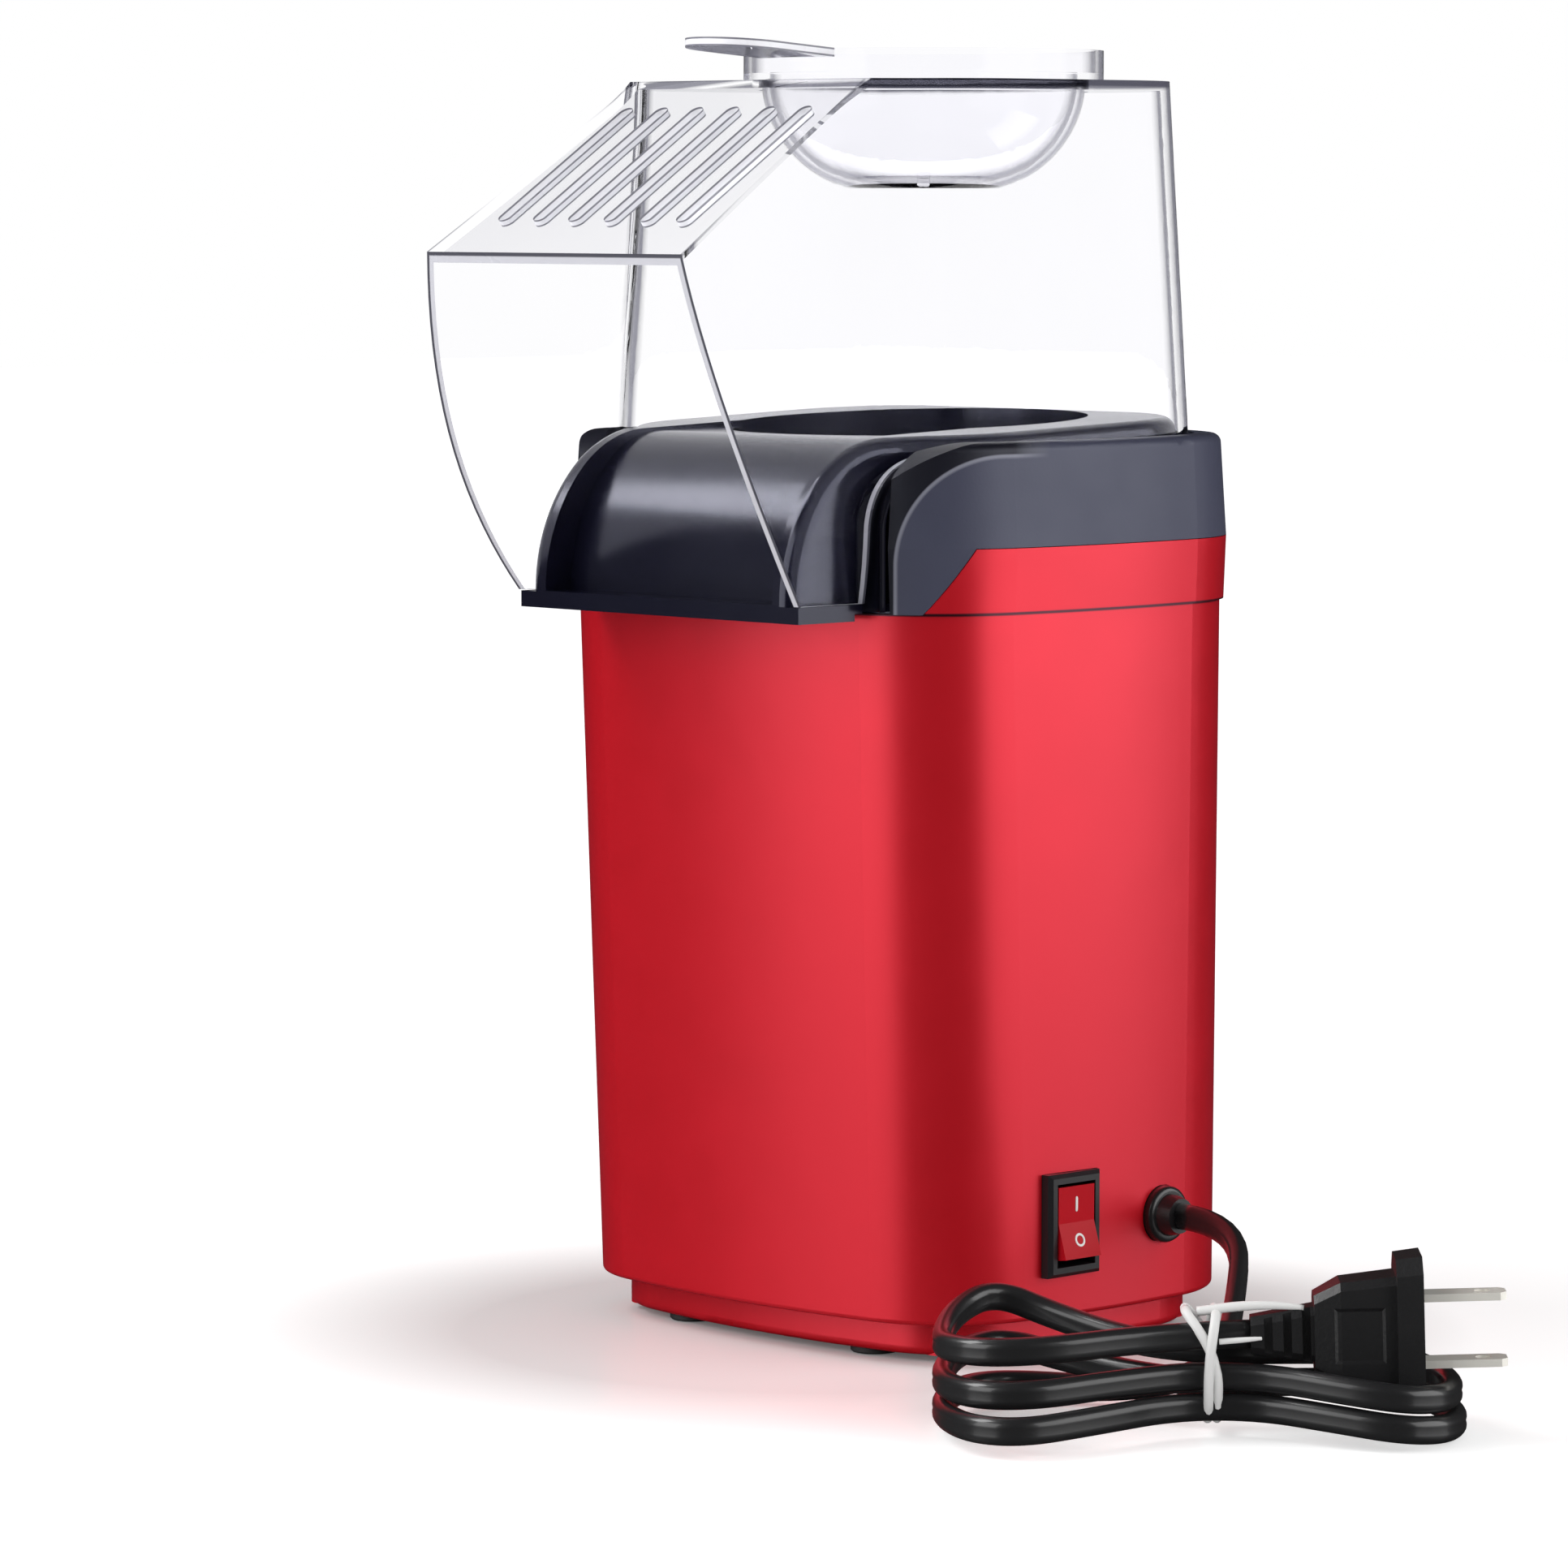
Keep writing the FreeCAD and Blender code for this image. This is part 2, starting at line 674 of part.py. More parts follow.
def make_collar():
    outer, wall = collar_wall()
    wall = wall.cut(band_region(SEAM_GAP))
    rim = prism(body_top(COLLAR_WALL / 2, Z_FLANGE), RIM_DEPTH).common(outer)
    rim = rim.cut(prism(body_top(RIM_WIDTH, Z_FLANGE), RIM_DEPTH))
    flange = prism(body_top(COLLAR_WALL / 2, Z_FLANGE - FLANGE_T), FLANGE_T)
    flange = flange.cut(upright(CHAMBER_OUT_R + 1, 0, CHAMBER_Y, 0, Z_TOP))
    tongue_in = BODY_WALL + TONGUE_FIT
    web = prism(body_top(COLLAR_WALL / 4, Z_BAND + SEAM_GAP), WEB_HEIGHT)
    web = web.cut(prism(body_top(tongue_in + TONGUE_T, Z_BAND), WEB_HEIGHT + 1))
    tongue_z = Z_SEAM - TONGUE_DEPTH
    tongue_h = Z_BAND + WEB_HEIGHT - tongue_z
    tongue = prism(body_top(tongue_in, tongue_z), tongue_h)
    tongue = tongue.cut(prism(body_top(tongue_in + TONGUE_T, tongue_z), tongue_h))
    collar = fused([wall, rim, flange, web, tongue])
    gap = box(-COLLAR_GAP_HALF, COLLAR_GAP_HALF, -VISOR_REACH, -FLANGE_FRONT, tongue_z - 1, Z_TOP)
    collar = collar.cut(gap)
    collar = collar.cut(sweep_region(SWEEP_FRONT, SWEEP_R, Z_RIM, tongue_z - 1))
    for x, y in chute_screw_places():
        collar = collar.cut(upright(SCREW_R + FIT, x, y, Z_FLANGE - FLANGE_T, Z_FLANGE))
    return collar


def make_collar_band():
    return collar_wall()[1].common(band_region(0))


# Chute


def shoulder(crest, front):
    """Two tangent arc steps from a level crest to a plumb front, meeting at 45 degrees; points are (y, z)."""
    a = crest[0] - front[0]
    b = crest[1] - front[1]
    half = math.sqrt(0.5)
    d = (b - a) / (1 - 2 * half)
    r_top = b + half * d
    r_front = a - half * d
    top_c = (crest[0], crest[1] - r_top)
    front_c = (front[0] + r_front, front[1])

    def on(centre, radius, degrees):
        angle = math.radians(degrees)
        return (centre[0] - radius * math.sin(angle), centre[1] + radius * math.cos(angle))

    meet = on(top_c, r_top, 45)
    return [(on(top_c, r_top, 22.5), meet), (on(front_c, r_front, 67.5), front)]


def deck_plan(inset, z):
    flare = (FLARE_FRONT, FLARE_REAR)
    return bottle(NOSE_HALF, DECK_HALF_WIDTH, DECK_REAR, DECK_CORNER_R, flare, SPOUT_REACH + 5, inset, z)


def valley_plan(inset, z):
    flare = (VALLEY_FRONT, VALLEY_REAR)
    return bottle(NOSE_HALF - FIT, VALLEY_HALF, DECK_REAR, DECK_CORNER_R, flare, SPOUT_REACH + 5, inset, z)


def deck_block():
    """Deck and spout before hollowing: the deck plan, cut to a side view that falls to the front."""
    rear = BODY_REAR + 10
    front = (-SPOUT_REACH, Z_LIP)
    crest = (CREST_Y, Z_CREST)
    rear_z = Z_CREST + (Z_DECK - Z_CREST) * (rear - CREST_Y) / (DECK_REAR - CREST_Y)
    back = -FLANGE_FRONT - FIT
    step = -BODY_TOP_FRONT - SLIDE_GAP
    profile = side_slab(
        BODY_TOP_HALF_WIDTH,
        (rear, Z_FLANGE + SEAM_GAP),
        (rear, rear_z),
        crest,
        *shoulder(crest, front),
        (-SPOUT_REACH, Z_NOSE),
        (step, Z_NOSE),
        (step, Z_SPOUT),
        (back, Z_SPOUT),
        (back, Z_FLANGE + SEAM_GAP),
        (rear, Z_FLANGE + SEAM_GAP),
    )
    block = prism(deck_plan(0, Z_NOSE), Z_TOP - Z_NOSE).common(profile)
    return block.makeFillet(DECK_ROUND, [e for e in block.Edges if is_deck_rim(e)])


def is_deck_rim(edge):
    """Edges along the sides of the deck and down the cheeks, where they meet the walls."""
    b = edge.BoundBox
    above = b.ZMin > Z_LIP - 0.01 and b.ZMax > Z_FLANGE + 2
    plumb = b.XLength < 1e-3 and b.YLength < 1e-3
    return above and not plumb and abs(b.Center.x) > NOSE_HALF - 1


def valley_walls():
    """Thin walls that close the space between the spout and the collar, below the hood's edge."""
    height = Z_FLANGE - FLANGE_T - FIT - Z_SPOUT
    wall = prism(valley_plan(0, Z_SPOUT), height).cut(prism(valley_plan(CHUTE_WALL, Z_SPOUT), height))
    zone = box(-VALLEY_HALF, VALLEY_HALF, -VALLEY_FRONT - 5, -VALLEY_REAR - 1, Z_SPOUT, Z_FLANGE)
    reach = FLARE_FRONT - SLIDE_GAP
    clear = sweep_region(reach, HOOD_SWEEP_R, Z_HOOD - SLIDE_GAP, Z_LIP - REST_GAP)
    return wall.common(zone).cut(clear).cut(tongue_room())


def tongue_room():
    """Room for the collar's tongue and web, beside the front gap of the collar."""
    height = Z_BAND + WEB_HEIGHT + SLIDE_GAP - Z_SPOUT
    inset = BODY_WALL + TONGUE_FIT + TONGUE_T + SLIDE_GAP
    room = prism(body_top(0, Z_SPOUT), height).cut(prism(body_top(inset, Z_SPOUT), height))
    half = COLLAR_GAP_HALF - SLIDE_GAP
    return room.cut(box(-half, half, -BODY_TOP_FRONT - 1, BODY_REAR, Z_SPOUT, Z_SPOUT + height))


def channel():
    """Space above the chute floor between the cheeks."""
    floor_z = Z_CREST - CHEEK_RISE
    crest = (FLOOR_CREST_Y, floor_z)
    foot = (-SPOUT_REACH + LIP_LEDGE, Z_LIP)
    high = Z_DECK + 20
    return side_slab(
        NOSE_HALF - CHEEK_WIDTH,
        (CHAMBER_Y, floor_z),
        crest,
        *shoulder(crest, foot),
        (-SPOUT_REACH - 10, Z_LIP),
        (-SPOUT_REACH - 10, high),
        (CHAMBER_Y, high),
        (CHAMBER_Y, floor_z),
    )


def spout_hollow():
    """Space below the chute floor, open towards the inside of the collar."""
    ceiling = Z_CREST - CHEEK_RISE - CHUTE_WALL
    crest = (FLOOR_CREST_Y, ceiling)
    foot = (-SPOUT_REACH + LIP_LEDGE + CHUTE_WALL, Z_SPOUT + CHUTE_WALL)
    back = FLOOR_CREST_Y + 0.5
    return side_slab(
        NOSE_HALF - CHEEK_WIDTH,
        (back, ceiling),
        crest,
        *shoulder(crest, foot),
        (back, Z_SPOUT + CHUTE_WALL),
        (back, ceiling),
    )


def chute_screw_places():
    x = DECK_HALF_WIDTH - POST_R
    return [(side * x, CHAMBER_Y + y) for side in (-1, 1) for y in CHUTE_SCREW_ROWS]


def make_chute():
    deck = deck_block()
    hollow = prism(deck_plan(CHUTE_WALL, Z_FLANGE), Z_CREST - DECK_SKIN - Z_FLANGE)
    half = DECK_HALF_WIDTH
    hollow = hollow.common(box(-half, half, -FLANGE_FRONT + 12, BODY_REAR, Z_FLANGE, Z_DECK))
    hollow = hollow.cut(upright(THROAT_R + THROAT_WALL, 0, CHAMBER_Y, Z_FLANGE, Z_DECK))
    posts = [upright(POST_R - 1, x, y, Z_FLANGE, Z_DECK) for x, y in chute_screw_places()]
    hollow = hollow.cut(posts[0].multiFuse(posts[1:]))
    seat = prism(body_top(RIM_WIDTH + FIT, Z_FLANGE + SEAM_GAP), SEAT_PLATE - SEAM_GAP)
    seat = seat.cut(prism(deck_plan(CHUTE_WALL, Z_FLANGE), SEAT_PLATE + 1))
    seat = seat.common(box(-80, 80, -FLARE_FRONT + HOOD_SWEEP_R + 1, BODY_REAR, Z_FLANGE, Z_DECK))
    lip = box(-SPOUT_HALF, SPOUT_HALF, -SPOUT_REACH, -FLARE_FRONT + FIT, Z_NOSE, Z_LIP - REST_GAP)
    lip = lip.cut(box(-80, 80, -BODY_TOP_FRONT - SLIDE_GAP, 0, Z_NOSE, Z_SPOUT))
    shelf = prism(body_top(FIT, Z_SPOUT), CHUTE_WALL)
    half = COLLAR_GAP_HALF - FIT
    shelf = shelf.common(box(-half, half, -BODY_TOP_FRONT - 5, -FLANGE_FRONT, Z_SPOUT, Z_LIP))
    chute = fused([deck.cut(hollow), seat, lip, shelf, valley_walls()])
    chute = chute.cut(channel()).cut(spout_hollow())
    chute = chute.cut(upright(THROAT_R, 0, CHAMBER_Y, Z_FLANGE, Z_TOP))
    rim_room = Z_CHAMBER_RIM + CHAMBER_WALL + FIT
    rim_r = CHAMBER_OUT_R + CHAMBER_FLANGE + SLIDE_GAP
    chute = chute.cut(upright(rim_r, 0, CHAMBER_Y, Z_FLANGE, rim_room))
    for x, y in chute_screw_places():
        chute = chute.cut(upright(SCREW_R + RUN_FIT, x, y, Z_FLANGE, Z_CREST - DECK_SKIN))
    return chute


def make_chute_screws():
    seat = Z_FLANGE - FLANGE_T
    length = Z_CREST - DECK_SKIN - SLIDE_GAP - seat
    places = chute_screw_places()
    return Part.makeCompound([screw(x, y, seat, length, SCREW_R, HEAD_R, HEAD_HEIGHT) for x, y in places])


# Hood and measuring cup


def hood_plan(spout, inset, z):
    lean = HOOD_DRAFT * (z - Z_HOOD)
    flare = (FLARE_FRONT, FLARE_REAR)
    front = VISOR_REACH + 20
    return bottle(
        spout, HOOD_HALF_WIDTH - lean, HOOD_REAR - lean, HOOD_CORNER_R, flare, front + inset, inset, z
    )


def hood_loft(inset):
    levels = [
        (Z_NOSE, SPOUT_HALF),
        (Z_DECK, SPOUT_WAIST_HALF),
        (Z_VISOR, SPOUT_VISOR_HALF),
        (Z_TOP, SPOUT_TOP_HALF),
    ]
    return loft([hood_plan(spout, inset, z) for z, spout in levels], ruled=False)


def hood_side():
    """Side view of the hood: flat top, falling visor, bulging mouth and swept lower edge."""
    rear = BODY_REAR + 10
    visor = (-VISOR_REACH, Z_VISOR)
    lip = (-SPOUT_REACH, Z_LIP)
    centre = (-FLARE_FRONT + HOOD_SWEEP_R, Z_HOOD - HOOD_SWEEP_R)
    half = math.sqrt(0.5) * HOOD_SWEEP_R
    return side_slab(
        BODY_TOP_HALF_WIDTH,
        (rear, Z_HOOD),
        (rear, Z_TOP),
        (-SLOPE_TOP, Z_TOP),
        visor,
        bulged(visor, lip, MOUTH_BULGE),
        (-FLARE_FRONT, Z_LIP),
        (-FLARE_FRONT, centre[1]),
        ((centre[0] - half, centre[1] + half), (centre[0], Z_HOOD)),
        (rear, Z_HOOD),
    )


def hood_inside():
    """Side view of the space in the hood, open at the mouth and below."""
    rear = BODY_REAR + 20
    top = Z_TOP - HOOD_WALL
    fold = -SLOPE_TOP + HOOD_WALL * math.tan(SLOPE / 2)
    far = -VISOR_REACH - 30
    low = Z_SPOUT - 20
    return side_slab(
        BODY_TOP_HALF_WIDTH,
        (rear, low),
        (rear, top),
        (fold, top),
        (far, top - (fold - far) * math.tan(SLOPE)),
        (far, low),
        (rear, low),
    )


def vent(x):
    """Long slot with round ends through the visor, along its fall."""
    half = (VENT_LENGTH - VENT_WIDTH) / 2
    r = VENT_WIDTH / 2
    slot = box(-r, r, -half, half, -10, 10)
    slot = slot.multiFuse([upright(r, 0, -half, -10, 10), upright(r, 0, half, -10, 10)])
    slot.rotate(V(0, 0, 0), V(1, 0, 0), math.degrees(SLOPE))
    y = -VISOR_REACH + VENT_CENTRE * math.cos(SLOPE)
    slot.translate(V(x, y, Z_VISOR + VENT_CENTRE * math.sin(SLOPE)))
    return slot


def make_hood():
    hood = hood_loft(0).common(hood_side())
    hood = hood.cut(hood_loft(HOOD_WALL).common(hood_inside()))
    hood = hood.cut(upright(CUP_BOWL_R + SLIDE_GAP, 0, 0, Z_TOP - 2 * HOOD_WALL, Z_TOP + 1))
    for i in range(VENT_COUNT):
        hood = hood.cut(vent((i - (VENT_COUNT - 1) / 2) * VENT_PITCH))
    return hood


def make_measuring_cup():
    seat = Z_TOP + REST_GAP
    floor = seat - CUP_DEPTH
    rim = seat + CUP_RIM_HEIGHT
    bowl_foot = (CUP_FLOOR_R, floor)
    bowl_top = (CUP_BOWL_R, seat)
    in_top = (CUP_BOWL_R - CUP_WALL, seat + CUP_WALL)
    in_foot = (CUP_FLOOR_R, floor + CUP_WALL)
    cup = turned(
        0,
        (0, floor),
        bowl_foot,
        bulged(bowl_foot, bowl_top, CUP_SAG),
        (CUP_RIM_R, seat),
        (CUP_RIM_R, rim),
        (CUP_RIM_R - CUP_WALL, rim),
        (CUP_RIM_R - CUP_WALL, seat + CUP_WALL),
        in_top,
        bulged(in_top, in_foot, -CUP_SAG),
        (0, floor + CUP_WALL),
        (0, floor),
    )
    nub = upright(CUP_NUB_R, 0, 0, floor + CUP_WALL / 2, floor + CUP_WALL + CUP_NUB_R)
    root = -CUP_RIM_R + CUP_WALL / 2
    tab = side_slab(
        HANDLE_HALF_WIDTH,
        (root, rim - HANDLE_T),
        (root, rim),
        (-HANDLE_REACH, rim + HANDLE_RISE),
        (-HANDLE_REACH, rim + HANDLE_RISE - HANDLE_T),
        (root, rim - HANDLE_T),
    )
    tip = -HANDLE_REACH + HANDLE_HALF_WIDTH
    plan = upright(HANDLE_HALF_WIDTH, 0, tip, seat, rim + 20)
    plan = plan.fuse(box(-HANDLE_HALF_WIDTH, HANDLE_HALF_WIDTH, tip, 0, seat, rim + 20))
    tab = tab.common(plan).cut(upright(CUP_RIM_R - CUP_WALL, 0, 0, seat, rim + 20))
    return fused([cup, nub, tab])


# Popping chamber, duct and heater


def make_popping_chamber():
    r_in = THROAT_R
    r_out = CHAMBER_OUT_R
    low = Z_CHAMBER
    rim = Z_CHAMBER_RIM
    k = CHAMBER_ROUND * (1 - math.sqrt(0.5))
    w = CHAMBER_WALL
    k_in = (CHAMBER_ROUND - w) * (1 - math.sqrt(0.5))
    chamber = turned(
        CHAMBER_Y,
        (0, low + CHAMBER_CONE_RISE),
        (CHAMBER_CONE_R, low),
        (r_out - CHAMBER_ROUND, low),
        ((r_out - k, low + k), (r_out, low + CHAMBER_ROUND)),
        (r_out, rim),
        (r_out + CHAMBER_FLANGE, rim),
        (r_out + CHAMBER_FLANGE, rim + w),
        (r_in, rim + w),
        (r_in, low + CHAMBER_ROUND),
        ((r_in - k_in, low + w + k_in), (r_out - CHAMBER_ROUND, low + w)),
        (CHAMBER_CONE_R, low + w),
        (0, low + w + CHAMBER_CONE_RISE),
        (0, low + CHAMBER_CONE_RISE),
    )
    half_w = LOUVRE_WIDTH / 2
    half_h = LOUVRE_LENGTH / 2
    slot = box(r_in - 1, r_out + 1, -half_w, half_w, -half_h, half_h)
    slot.rotate(V(0, 0, 0), V(1, 0, 0), LOUVRE_LEAN)
    slot.translate(V(0, CHAMBER_Y, low + CHAMBER_ROUND + LOUVRE_LENGTH / 2))
    for i in range(LOUVRES):
        chamber = chamber.cut(spun(slot, i * 360 / LOUVRES, CHAMBER_Y))
    return chamber


def make_chamber_seal():
    return ring(CHAMBER_OUT_R + CHAMBER_FLANGE, CHAMBER_OUT_R + FIT, CHAMBER_Y, Z_FLANGE, Z_CHAMBER_RIM)


def leg_places():
    reach = (DUCT_R + DUCT_OUT_R) / 2 - 3
    return [
        (reach * math.cos(math.radians(a)), CHAMBER_Y + reach * math.sin(math.radians(a))) for a in LEG_ANGLES
    ]


def make_air_duct():
    """Tube round fan and heater, with two inner ledges, a lap on the chamber and four legs."""
    tube = ring(DUCT_OUT_R, DUCT_R, CHAMBER_Y, DUCT_FOOT, Z_DUCT_TOP)
    lap = ring(DUCT_OUT_R, CHAMBER_OUT_R + FIT, CHAMBER_Y, Z_DUCT_TOP - DUCT_WALL, Z_DUCT_TOP)
    ledge_r = DUCT_R - DUCT_LEDGE
    mount_ledge = ring(DUCT_OUT_R, ledge_r, CHAMBER_Y, Z_MOUNT - DUCT_LEDGE, Z_MOUNT)
    card_ledge = ring(DUCT_OUT_R, ledge_r, CHAMBER_Y, Z_CARD - DUCT_LEDGE, Z_CARD)
    half = LEG_WIDTH / 2
    leg = box(DUCT_OUT_R - 9, DUCT_OUT_R, CHAMBER_Y - half, CHAMBER_Y + half, Z_FLOOR, DUCT_FOOT + 2)
    legs = [spun(leg, a, CHAMBER_Y) for a in LEG_ANGLES]
    pad = rod(THERMOSTAT_R + 1, V(-DUCT_R - DUCT_WALL / 2, CHAMBER_Y, THERMOSTAT_Z), thermostat_foot())
    duct = fused([tube, lap, mount_ledge, card_ledge, pad] + legs)
    duct = duct.cut(upright(ledge_r, 0, CHAMBER_Y, DUCT_FOOT, Z_MOUNT))
    for x, y in leg_places():
        duct = duct.cut(upright(SCREW_R + RUN_FIT, x, y, Z_FLOOR, Z_FLOOR + SCREW_LENGTH))
    return duct


def make_duct_screws():
    seat = FOOT_GAP + HEAD_RECESS
    length = Z_FLOOR + SCREW_LENGTH - 1 - seat
    places = leg_places()
    return Part.makeCompound([screw(x, y, seat, length, SCREW_R, HEAD_R, HEAD_RECESS) for x, y in places])


def coil_point(turn):
    angle = 2 * math.pi * turn
    z = Z_CARD + CARD_HEIGHT / 2 + (turn - COIL_TURNS / 2) * COIL_PITCH
    return V(COIL_R * math.cos(angle), CHAMBER_Y + COIL_R * math.sin(angle), z)


def heater_card(angle, slot_low):
    """Mica card across the duct, notched for the wire and slotted at its middle for the other card."""
    half = DUCT_R - CARD_GAP
    card = box(-half, half, CHAMBER_Y - CARD_T / 2, CHAMBER_Y + CARD_T / 2, Z_CARD, Z_CARD + CARD_HEIGHT)
    middle = Z_CARD + CARD_HEIGHT / 2
    slot_half = CARD_T / 2 + RUN_FIT
    low = Z_CARD if slot_low else middle
    card = card.cut(box(-slot_half, slot_half, CHAMBER_Y - 1, CHAMBER_Y + 1, low, low + CARD_HEIGHT / 2))
    notch = COIL_WIRE_R + NOTCH_GAP
    for end in (0, 1):
        for k in range(-1, COIL_TURNS + 1):
            turn = k + (angle + 180 * end) / 360
            if 0 <= turn <= COIL_TURNS:
                z = coil_point(turn).z
                inner = COIL_R - notch
                cut = box(inner, half + 1, CHAMBER_Y - 1, CHAMBER_Y + 1, z - notch, z + notch)
                card = card.cut(spun(cut, 180 * end, CHAMBER_Y))
    return spun(card, angle, CHAMBER_Y)


def coil_heading(turn):
    return (coil_point(turn + 0.001) - coil_point(turn - 0.001)).normalize()


def make_heater_coil():
    edges = []
    count = COIL_TURNS * COIL_STEPS
    for k in range(count):
        a = k / COIL_STEPS
        b = (k + 1) / COIL_STEPS
        edges += biarc(coil_point(a), coil_heading(a), coil_point(b), coil_heading(b))
    return tube("heater_coil", Part.Wire(Part.__sortEdges__(edges)), COIL_WIRE_R)


def thermostat_foot():
    return V(-DUCT_OUT_R - PAD_T, CHAMBER_Y, THERMOSTAT_Z)


def make_thermostat():
    foot = thermostat_foot()
    disc = rod(THERMOSTAT_R, foot, foot - V(THERMOSTAT_T, 0, 0))
    back = foot.x - THERMOSTAT_T
    half = TERMINAL_WIDTH / 2
    tab = box(back - 4, back, CHAMBER_Y - half, CHAMBER_Y + half, 0, TERMINAL_T)
    low = tab.translated(V(0, 0, THERMOSTAT_Z - 4))
    high = tab.translated(V(0, 0, THERMOSTAT_Z + 4))
    return fused([disc, low, high])


def make_thermal_fuse():
    """Small upright can with axial wires, held against the duct."""
    reach = DUCT_OUT_R + FUSE_R + FIT
    angle = math.radians(FUSE_ANGLE)
    x = reach * math.cos(angle)
    y = CHAMBER_Y + reach * math.sin(angle)
    can = upright(FUSE_R, x, y, FUSE_Z, FUSE_Z + FUSE_LENGTH)
    wire = upright(0.5, x, y, FUSE_Z - 6, FUSE_Z + FUSE_LENGTH + 6)
    return can.fuse(wire)


# Blower


def make_motor_can():
    can = upright(MOTOR_R, 0, CHAMBER_Y, Z_MOTOR, Z_MOUNT)
    can = can.makeFillet(1.5, level_edges(can, Z_MOUNT))
    bush = upright(BUSH_R, 0, CHAMBER_Y, Z_MOUNT - 1, Z_MOUNT + MOUNT_T + BUSH_HEIGHT)
    can = can.fuse(bush)
    can = can.cut(upright(SHAFT_R + RUN_FIT, 0, CHAMBER_Y, Z_MOUNT - SHAFT_DEPTH, Z_FAN))
    for x in (-MOTOR_SCREW_PITCH, MOTOR_SCREW_PITCH):
        can = can.cut(upright(MOTOR_SCREW_R + RUN_FIT, x, CHAMBER_Y, Z_MOUNT - 4, Z_MOUNT))
    return can


def make_motor_end_cap():
    cap = upright(MOTOR_R - 1, 0, CHAMBER_Y, Z_END_CAP, Z_MOTOR)
    return cap.makeChamfer(1.2, level_edges(cap, Z_END_CAP))


def make_motor_mount():
    """Spider with three arms and a rim that rests on the duct's lower ledge."""
    rim_r = DUCT_R - FIT
    rim = ring(rim_r, rim_r - MOUNT_RIM, CHAMBER_Y, Z_MOUNT, Z_MOUNT + MOUNT_T)
    hub = upright(MOUNT_HUB_R, 0, CHAMBER_Y, Z_MOUNT, Z_MOUNT + MOUNT_T)
    arm = box(0, rim_r - 1, CHAMBER_Y - MOUNT_ARM / 2, CHAMBER_Y + MOUNT_ARM / 2, Z_MOUNT, Z_MOUNT + MOUNT_T)
    mount = fused([rim, hub] + [spun(arm, a, CHAMBER_Y) for a in (90, 210, 330)])
    mount = mount.cut(upright(BUSH_R + FIT, 0, CHAMBER_Y, Z_MOUNT, Z_FAN))
    for x in (-MOTOR_SCREW_PITCH, MOTOR_SCREW_PITCH):
        mount = mount.cut(upright(MOTOR_SCREW_R + FIT, x, CHAMBER_Y, Z_MOUNT, Z_FAN))
    return mount


def make_motor_screws():
    top = Z_MOUNT + MOUNT_T
    screws = []
    for x in (-MOTOR_SCREW_PITCH, MOTOR_SCREW_PITCH):
        shank = upright(MOTOR_SCREW_R, x, CHAMBER_Y, Z_MOUNT - 3.5, top)
        screws.append(shank.fuse(upright(2 * MOTOR_SCREW_R, x, CHAMBER_Y, top, top + 1.5)))
    return Part.makeCompound(screws)


def make_motor_shaft():
    return upright(SHAFT_R, 0, CHAMBER_Y, Z_MOUNT - SHAFT_DEPTH + 0.5, Z_FAN_TOP)


def make_fan():
    """Axial fan: a hub with leaning blades, trimmed to the running circle."""
    tip = DUCT_R - DUCT_LEDGE - FAN_TIP_GAP
    hub = upright(FAN_HUB_R, 0, CHAMBER_Y, Z_FAN, Z_FAN_TOP)
    blade = box(FAN_HUB_R - 2, tip + 5, -FAN_BLADE_T / 2, FAN_BLADE_T / 2, -FAN_HEIGHT, FAN_HEIGHT)
    blade.rotate(V(0, 0, 0), V(1, 0, 0), 90 - FAN_LEAN)
    blade.translate(V(0, CHAMBER_Y, (Z_FAN + Z_FAN_TOP) / 2))
    zone = ring(tip, FAN_HUB_R - 2, CHAMBER_Y, Z_FAN, Z_FAN_TOP)
    blades = [spun(blade, i * 360 / FAN_BLADES, CHAMBER_Y).common(zone) for i in range(FAN_BLADES)]
    fan = fused([hub] + blades)
    return fan.cut(upright(SHAFT_R + RUN_FIT / 2, 0, CHAMBER_Y, Z_FAN, Z_FAN_TOP))


def make_rectifier_board():
    return upright(BOARD_R, 0, CHAMBER_Y, Z_BOARD, Z_END_CAP)


def make_rectifier_diodes():
    """Four diodes lying on the underside of the board."""
    diodes = []
    z = Z_BOARD - DIODE_R - RUN_FIT
    for side in (-1, 1):
        for row in (-1, 1):
            x = side * BOARD_R * 0.4
            y = CHAMBER_Y + row * BOARD_R * 0.35
            diodes.append(rod(DIODE_R, V(x - DIODE_LENGTH / 2, y, z), V(x + DIODE_LENGTH / 2, y, z)))
    return Part.makeCompound(diodes)


# Switch


def switch_block(height, width, x0, x1):
    w = width / 2
    h = height / 2
    return box(x0, x1, SWITCH_Y - w, SWITCH_Y + w, SWITCH_Z - h, SWITCH_Z + h)


def bezel_back():
    return side_x(SWITCH_Y, SWITCH_Z) - BEZEL_SUNK


def bezel_face():
    return side_x(SWITCH_Y, SWITCH_Z) + BEZEL_PROUD


def pivot():
    return V(bezel_face() - PIN_SUNK, SWITCH_Y, SWITCH_Z)


def switch_opening():
    back = bezel_back()
    recess = switch_block(BEZEL_HEIGHT + FIT, BEZEL_WIDTH + FIT, back, back + 20)
    hole = switch_block(SWITCH_BODY_HEIGHT + 2 * FIT, SWITCH_BODY_WIDTH + 2 * FIT, back - 10, back)
    return recess.fuse(hole)


